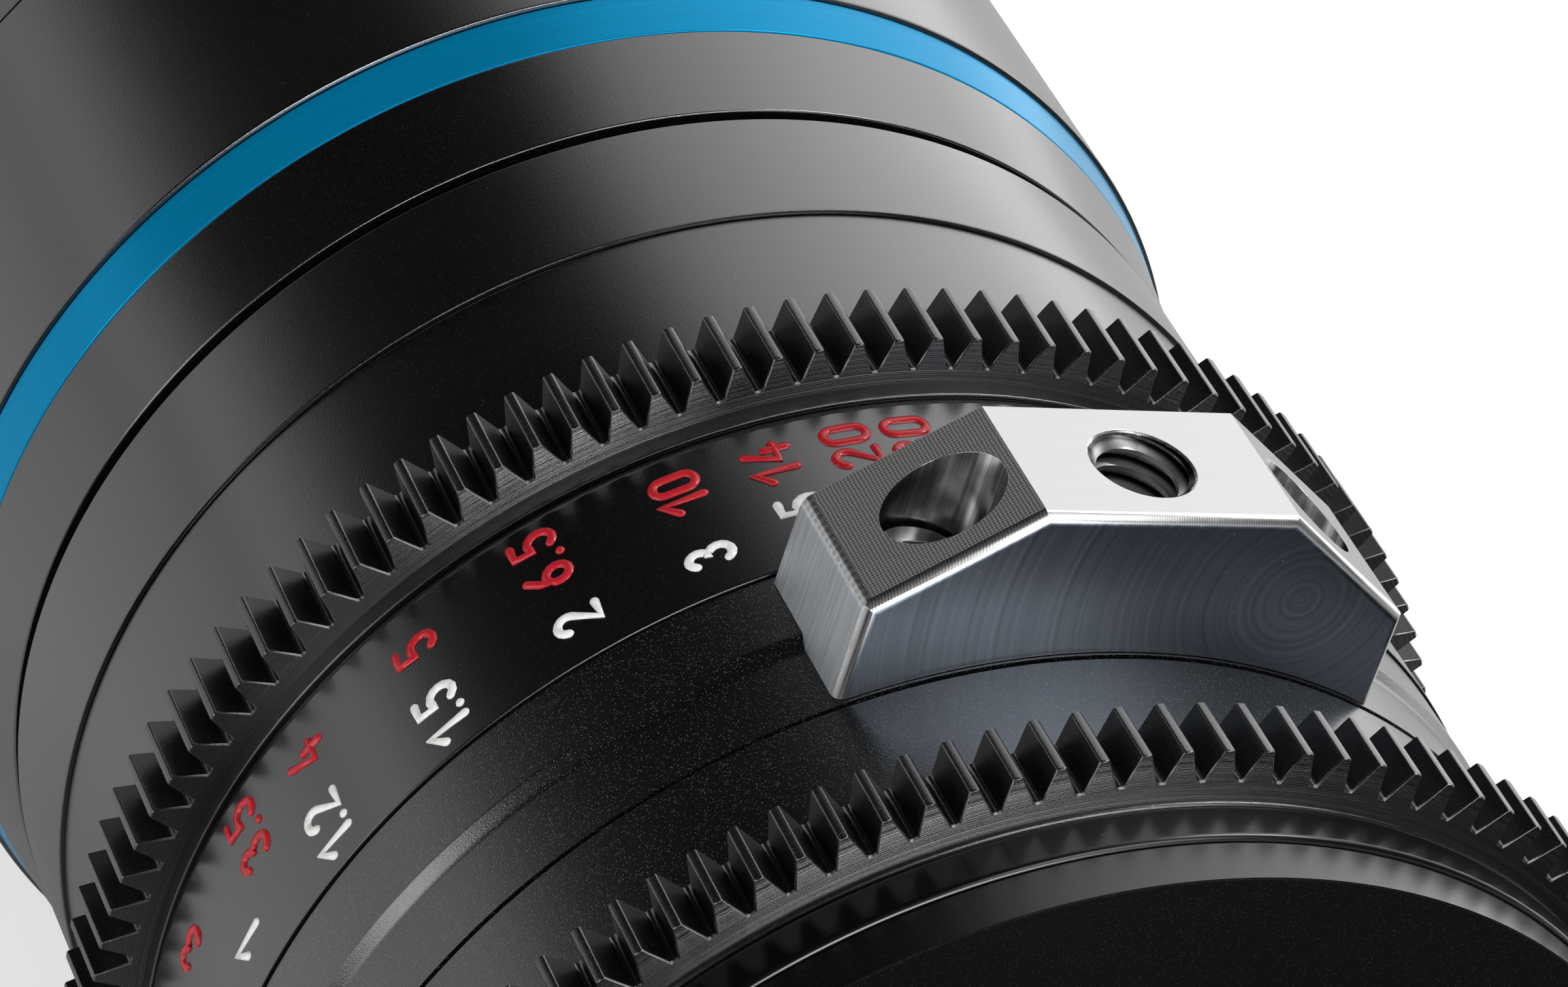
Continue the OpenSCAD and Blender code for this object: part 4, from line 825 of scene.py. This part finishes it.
STEPS, CONE_Y, CONE_END = 12, 119.57, 130.75
CONE_R, CONE_END_R, CONE_WALL_R = 34.0, 38.9, 39.5
stairs = []
for i in range(STEPS):
    r = CONE_R + (CONE_END_R - CONE_R) * i / STEPS
    y, next_y = (CONE_Y + (CONE_END - CONE_Y) * k / STEPS for k in (i, i + 1))
    stairs += [(r, y), (r - 0.05, next_y - 0.15)]
make_ring("front_trim_stepped", "front_trim_ring", "barrel", matt_black, stairs + [
    (CONE_END_R, CONE_END), (CONE_WALL_R, CONE_END), (CONE_WALL_R, CONE_Y)], 0)

# %% [markdown]
# ## The numerals
# Focus distances are engraved on the drum and filled with paint: metres in white, feet in red. The stops
# on the aperture ring are white too. A Text object would bring a font's own look, so the figures are drawn
# as strokes of one width with round ends, as the engraver's cutter leaves them: a chain of points is turned
# into a curve with a round bevel, made a mesh again, and pressed flat.

# %% The engraver's alphabet
FIGURE_H, STROKE, BEAD = 2.65, 0.6, 0.18
END_TAPER = ((0.98, 0.2), (0.87, 0.5), (0.5, 0.87))


def arc(cx, cy, rx, ry, start, end, steps=9):
    """Points along an ellipse between two angles in degrees"""
    turns = [math.radians(start + (end - start) * i / steps) for i in range(steps + 1)]
    return [(cx + rx * math.cos(t), cy + ry * math.sin(t)) for t in turns]


FIGURES = {
    "0": (0.5, [arc(0.25, 0.75, 0.25, 0.25, 0, 180) + arc(0.25, 0.25, 0.25, 0.25, 180, 360)
                + [(0.5, 0.75)]]),
    "1": (0.36, [[(0.0, 0.67), (0.36, 1.0), (0.36, 0.0)]]),
    "2": (0.5, [arc(0.25, 0.74, 0.25, 0.26, 165, -35) + [(0.0, 0.0), (0.5, 0.0)]]),
    "3": (0.5, [arc(0.24, 0.76, 0.22, 0.24, 150, -80) + arc(0.24, 0.27, 0.26, 0.27, 80, -150)]),
    "4": (0.56, [[(0.34, 1.0), (0.0, 0.28), (0.56, 0.28)], [(0.4, 0.52), (0.4, 0.0)]]),
    "5": (0.5, [[(0.46, 1.0), (0.07, 1.0), (0.03, 0.57)] + arc(0.24, 0.31, 0.26, 0.31, 112, -140)]),
    "6": (0.5, [[(0.4, 1.0), (0.17, 0.72)] + arc(0.25, 0.28, 0.25, 0.28, 155, -205, 14)]),
    "8": (0.5, [arc(0.25, 0.76, 0.22, 0.24, -90, 270, 14), arc(0.25, 0.26, 0.25, 0.26, 90, 450, 14)]),
    "9": (0.5, [[(0.1, 0.0), (0.33, 0.28)] + arc(0.25, 0.72, 0.25, 0.28, -25, -385, 14)]),
    ".": (0.01, [[(0.004, 0.0), (0.006, 0.0)]]),
    "i": (1.0, [arc(0.24, 0.46, 0.22, 0.24, 45, 315, 12) + arc(0.76, 0.46, 0.22, 0.24, -135, 135, 12)
                + [(0.396, 0.63)]]),
}


def round_ends(path):
    """Lengthen an open path by three points at each end, where the stroke narrows to a round end"""
    longer = list(path)
    for _ in range(2):
        (x, y), (nx, ny) = longer[0], longer[1]
        away = Vector((x - nx, y - ny)).normalized()
        caps = [(x + away.x * d * STROKE / 2, y + away.y * d * STROKE / 2) for d, _ in END_TAPER]
        longer = (caps + longer)[::-1]
    return longer


def engrave_figure(sign):
    """One figure as a flat bead of paint, in millimetres round its own origin"""
    width, paths = FIGURES[sign]
    strokes = []
    for path in paths:
        scaled = [(x * FIGURE_H, y * FIGURE_H) for x, y in path]
        closed = math.dist(scaled[0], scaled[-1]) < 0.001
        points = [(x, y, 0) for x, y in (scaled if closed else round_ends(scaled))]
        draw_line("stroke", points)
        clean_mesh()
        bpy.ops.object.convert(target="CURVE")
        stroke = bpy.context.object
        stroke.data.bevel_depth = STROKE / 2 * MM
        stroke.data.bevel_resolution = 2
        stroke.data.use_fill_caps = True
        ends = stroke.data.splines[0].points
        if not stroke.data.splines[0].use_cyclic_u:
            for i, (_, share) in enumerate(END_TAPER):
                ends[i].radius = ends[len(ends) - 1 - i].radius = share
        bpy.ops.object.convert(target="MESH")
        strokes.append(bpy.context.object)
    pick(*strokes)
    if len(strokes) > 1:
        bpy.ops.object.join()
    figure = bpy.context.object
    bpy.ops.object.mode_set(mode="EDIT")
    bpy.ops.mesh.select_all(action="SELECT")
    bpy.ops.transform.resize(value=(1, 1, BEAD / (STROKE / 2)), center_override=(0, 0, 0))
    clean_mesh()
    figure.name = "figure"
    return width * FIGURE_H, figure


alphabet = {sign: engrave_figure(sign) for sign in FIGURES}
print("figures:", len(alphabet))

# %% [markdown]
# ## Setting the numbers round the rings
# A number reads along the lens axis, with its top away from the foot. A Simple Deform could bend a row of
# figures, but the exact roll is easy to write down: the way along the row becomes the station on the
# axis, and the height of the figure becomes an angle.

# %% Roll the numbers onto the rings
GAP = STROKE + 0.3


def set_number(word, angle, y, radius):
    """Copies of the figures of one number, rolled onto a ring with their middle at an angle and station"""
    length = sum(alphabet[s][0] for s in word) + GAP * (len(word) - 1)
    pen, row = y - length / 2, []
    for sign in word:
        width, figure = alphabet[sign]
        copy = figure.copy()
        copy.data = figure.data.copy()
        scene.collection.objects.link(copy)
        for vertex in copy.data.vertices:
            u, v, w = vertex.co / MM
            place = around(angle - math.degrees((v - FIGURE_H / 2) / radius), radius + w, pen + u)
            vertex.co = Vector(place) * MM
        row.append(copy)
        pen += width + GAP
    return row


def gather(name, copies, body, finish):
    """Join the figures of one colour to one piece"""
    pick(*copies)
    bpy.ops.object.join()
    piece = bpy.context.object
    piece.name = piece.data.name = name
    bpy.ops.object.mode_set(mode="EDIT")
    clean_mesh()
    bpy.ops.object.shade_smooth_by_angle(angle=math.radians(60))
    attach(piece, body, finish)


METRES = {"0.8": -97.7, "0.9": -87.1, "1": -78.7, "1.2": -66.1, "1.5": -52.9, "2": -39.7, "3": -28.1,
          "4.5": -19.5, "10": -10.4, "i": -2.8}
FEET = {"2.5": -102.4, "3": -85.8, "3.5": -73.9, "4": -65.3, "5": -52.5, "6.5": -40.2, "10": -27.9,
        "14": -20.0, "20": -13.2, "30": -8.0}
STOPS = {"2.9": 0.6, "4": 16.9, "5.6": 29.3, "8": 38.6, "11": 44.6, "16": 49.7}
METRE_Y, FEET_Y, STOP_Y, STOP_START = 48.45, 54.35, 29.5, -65
metre_figures, foot_figures, stop_figures = [], [], []
for half in (0, 180):
    for word, angle in METRES.items():
        metre_figures += set_number(word, angle + half, METRE_Y, DRUM_R)
    for word, angle in FEET.items():
        foot_figures += set_number(word, angle + half, FEET_Y, DRUM_R)
    for word, angle in STOPS.items():
        stop_figures += set_number(word, half + STOP_START - angle, STOP_Y, APERTURE_R)
gather("metre_numerals", metre_figures, "focus_ring_group", white_paint)
gather("foot_numerals", foot_figures, "focus_ring_group", red_paint)
gather("stop_numerals", stop_figures, "aperture_ring_group", white_paint)
for _, figure in alphabet.values():
    bpy.data.objects.remove(figure)

# %% [markdown]
# ## The parts inside
# Tubes, cams, cells and glass could be modelled again, but their shape is right and little of them is
# seen, so they keep their CAD meshes. Each takes the finish of its material slot in the record.

# %% Finish the CAD parts that stay
SLOT_FINISHES = {"black_anodised": satin_black, "gear_black": gear_black, "black_gloss": gloss_black,
                 "black_matt": matt_black, "blue_anodised": blue_metal, "bare_aluminium": tube_metal,
                 "steel": steel_metal, "brass": brass_metal, "polymer": polymer_white,
                 "coated_glass": coated_glass}
stayed = 0
for row in frame["record"]["subparts"]:
    node = frame["nodes"][row["node"]]
    if node.hide_render:
        continue
    if node.material_slots:
        node.material_slots[0].material = SLOT_FINISHES[row["material_slot"]]
    else:
        node.data.materials.append(SLOT_FINISHES[row["material_slot"]])
    stayed += 1
print("CAD parts with a finish:", stayed)

# %% [markdown]
# ## Floor and light
# The lens lies on a white studio floor. Black metal shows nothing but what it mirrors, so the light is
# built as things to be mirrored. In front on the right the world is a bright wall that fades towards the
# left, which makes the sheen along the barrel; low walls all round draw its far side. One soft box stands
# low behind the lens for the gears, one higher up for the foot's edges, one on the left for the bevels,
# and a small one hangs on top, so that the bores are not black. A last one only lights the paint, and is
# not mirrored. Seen in the metal, the floor is painted: a painted shadow makes it black behind the lens,
# and in front a painted glow makes it brighter towards the right. A photograph of a
# studio could light the lens as well, but lamps and walls can be moved one by one until the sheen is right.

# %% Lay the floor
FLOOR_Z, FLOOR_R = -44.75, 4
FLOOR_SHADE, FLOOR_GLOW = 0.45, 0.68

bpy.ops.object.select_all(action="DESELECT")
bpy.ops.mesh.primitive_circle_add(vertices=64, radius=FLOOR_R, fill_type="NGON",
                                  location=(0, 0, FLOOR_Z * MM))
floor = bpy.context.object
floor.name = "studio_floor"
bpy.ops.object.transform_apply(location=True)
white = bpy.data.materials.new("studio white")
white.use_nodes = True
tree = white.node_tree
tree.nodes.clear()
path = put(tree, "LightPath").outputs
place = put(tree, "TexCoord").outputs["Object"]
spot = put(tree, "SeparateXYZ", place).outputs
in_front = put(tree, "MapRange", spot["Y"], -0.03, 0.06).outputs["Result"]
sheen = put(tree, "MapRange", spot["X"], 0.0, 0.5, 0.18, 0.8).outputs["Result"]
away = put(tree, "VectorMath", place, options={"operation": "LENGTH"}).outputs["Value"]
white_out = put(tree, "MapRange", away, 0.25, 0.8, FLOOR_GLOW, 1.0).outputs["Result"]


def by_ray(plain, mirrored):
    """A feed for most rays, and another for rays that come from a mirror-like surface"""
    choice = put(tree, "Mix", path["Is Glossy Ray"], (0, 0, 0), plain, mirrored,
                 options={"data_type": "FLOAT"})
    return choice.outputs[0]


# For mirrored rays the floor is painted: shade makes it black behind the lens, and a glow that grows
# towards the right lights it in front
shade = by_ray(FLOOR_SHADE, math_node(tree, "MULTIPLY", in_front, FLOOR_SHADE))
strength = by_ray(white_out, math_node(tree, "MULTIPLY", in_front, sheen))
diffuse = put(tree, "BsdfDiffuse", Color=shade).outputs[0]
glow = put(tree, "Emission", Color=(1, 1, 1, 1), Strength=strength).outputs[0]
both = put(tree, "AddShader", diffuse, glow).outputs[0]
tree.links.new(both, tree.nodes.new("ShaderNodeOutputMaterial").inputs["Surface"])
floor.data.materials.append(white)
print("floor at", FLOOR_Z, "mm")

# %% Hang the lamps
LENS_MIDDLE = Vector((0, 0.06, 0.02))


def soft_box(name, toward, distance, width, height, watts):
    """A rectangular area lamp that looks back at the lens"""
    toward = Vector(toward).normalized()
    bpy.ops.object.select_all(action="DESELECT")
    bpy.ops.object.light_add(type="AREA", location=LENS_MIDDLE + toward * distance,
                             rotation=toward.to_track_quat("Z", "Y").to_euler())
    lamp = bpy.context.object
    lamp.name = name
    lamp.data.shape = "RECTANGLE"
    lamp.data.size, lamp.data.size_y = width, height
    lamp.data.energy = watts
    lamp.visible_camera = False
    print(name, watts, "W")
    return lamp


soft_box("rear_soft_box", (0.04, -0.98, 0.14), 1.2, 0.6, 0.36, 8.0)
soft_box("high_soft_box", (0.2, -0.7, 0.68), 1.2, 0.6, 0.6, 3.4)
soft_box("left_soft_box", (-0.95, -0.25, 0.14), 1.0, 1.0, 0.35, 1.9)
soft_box("top_soft_box", (0.5, 0.03, 0.86), 1.1, 0.35, 0.35, 3.4)
fill = soft_box("fill_soft_box", (-0.2, -0.62, 0.76), 1.2, 1.0, 1.0, 6.2)
fill.visible_glossy = False

# %% The horizon
PANEL_STRENGTH = 2.0

world = bpy.data.worlds.new("studio horizon")
scene.world = world
world.use_nodes = True
tree = world.node_tree
sky = tree.nodes["Background"]
way = put(tree, "SeparateXYZ", put(tree, "TexCoord").outputs["Generated"]).outputs


def greys(mask, *stops):
    """A ramp of grey levels"""
    return ramp(tree, mask, *[(at, (level,) * 3) for at, level in stops])


walls = greys(way["Z"], (0.0, 0.66), (0.12, 0.5), (0.21, 0.2), (0.28, 0.02), (0.4, 0.003))
across = put(tree, "MapRange", way["X"], -0.2, 0.8).outputs["Result"]
panel = greys(across, (0.05, 0.0), (0.15, 0.09), (0.2, 0.21), (0.32, 0.41), (0.54, 0.59), (0.8, 0.84))
ahead = put(tree, "MapRange", way["Y"], 0.0, 0.4).outputs["Result"]
path = put(tree, "LightPath").outputs
plain = math_node(tree, "MAXIMUM", path["Is Camera Ray"], path["Is Transmission Ray"])
lit = math_node(tree, "MULTIPLY", ahead, math_node(tree, "SUBTRACT", 1.0, plain))
seen = put(tree, "Mix", plain, options={"data_type": "RGBA"})
tree.links.new(walls, seen.inputs[6])
seen.inputs[7].default_value = (1, 1, 1, 1)
tree.links.new(seen.outputs[2], sky.inputs["Color"])
front = put(tree, "Background", Color=panel, Strength=math_node(tree, "MULTIPLY", lit, PANEL_STRENGTH))
both = put(tree, "AddShader", sky.outputs[0], front.outputs[0]).outputs[0]
tree.links.new(both, tree.nodes["World Output"].inputs["Surface"])
print("world ready")
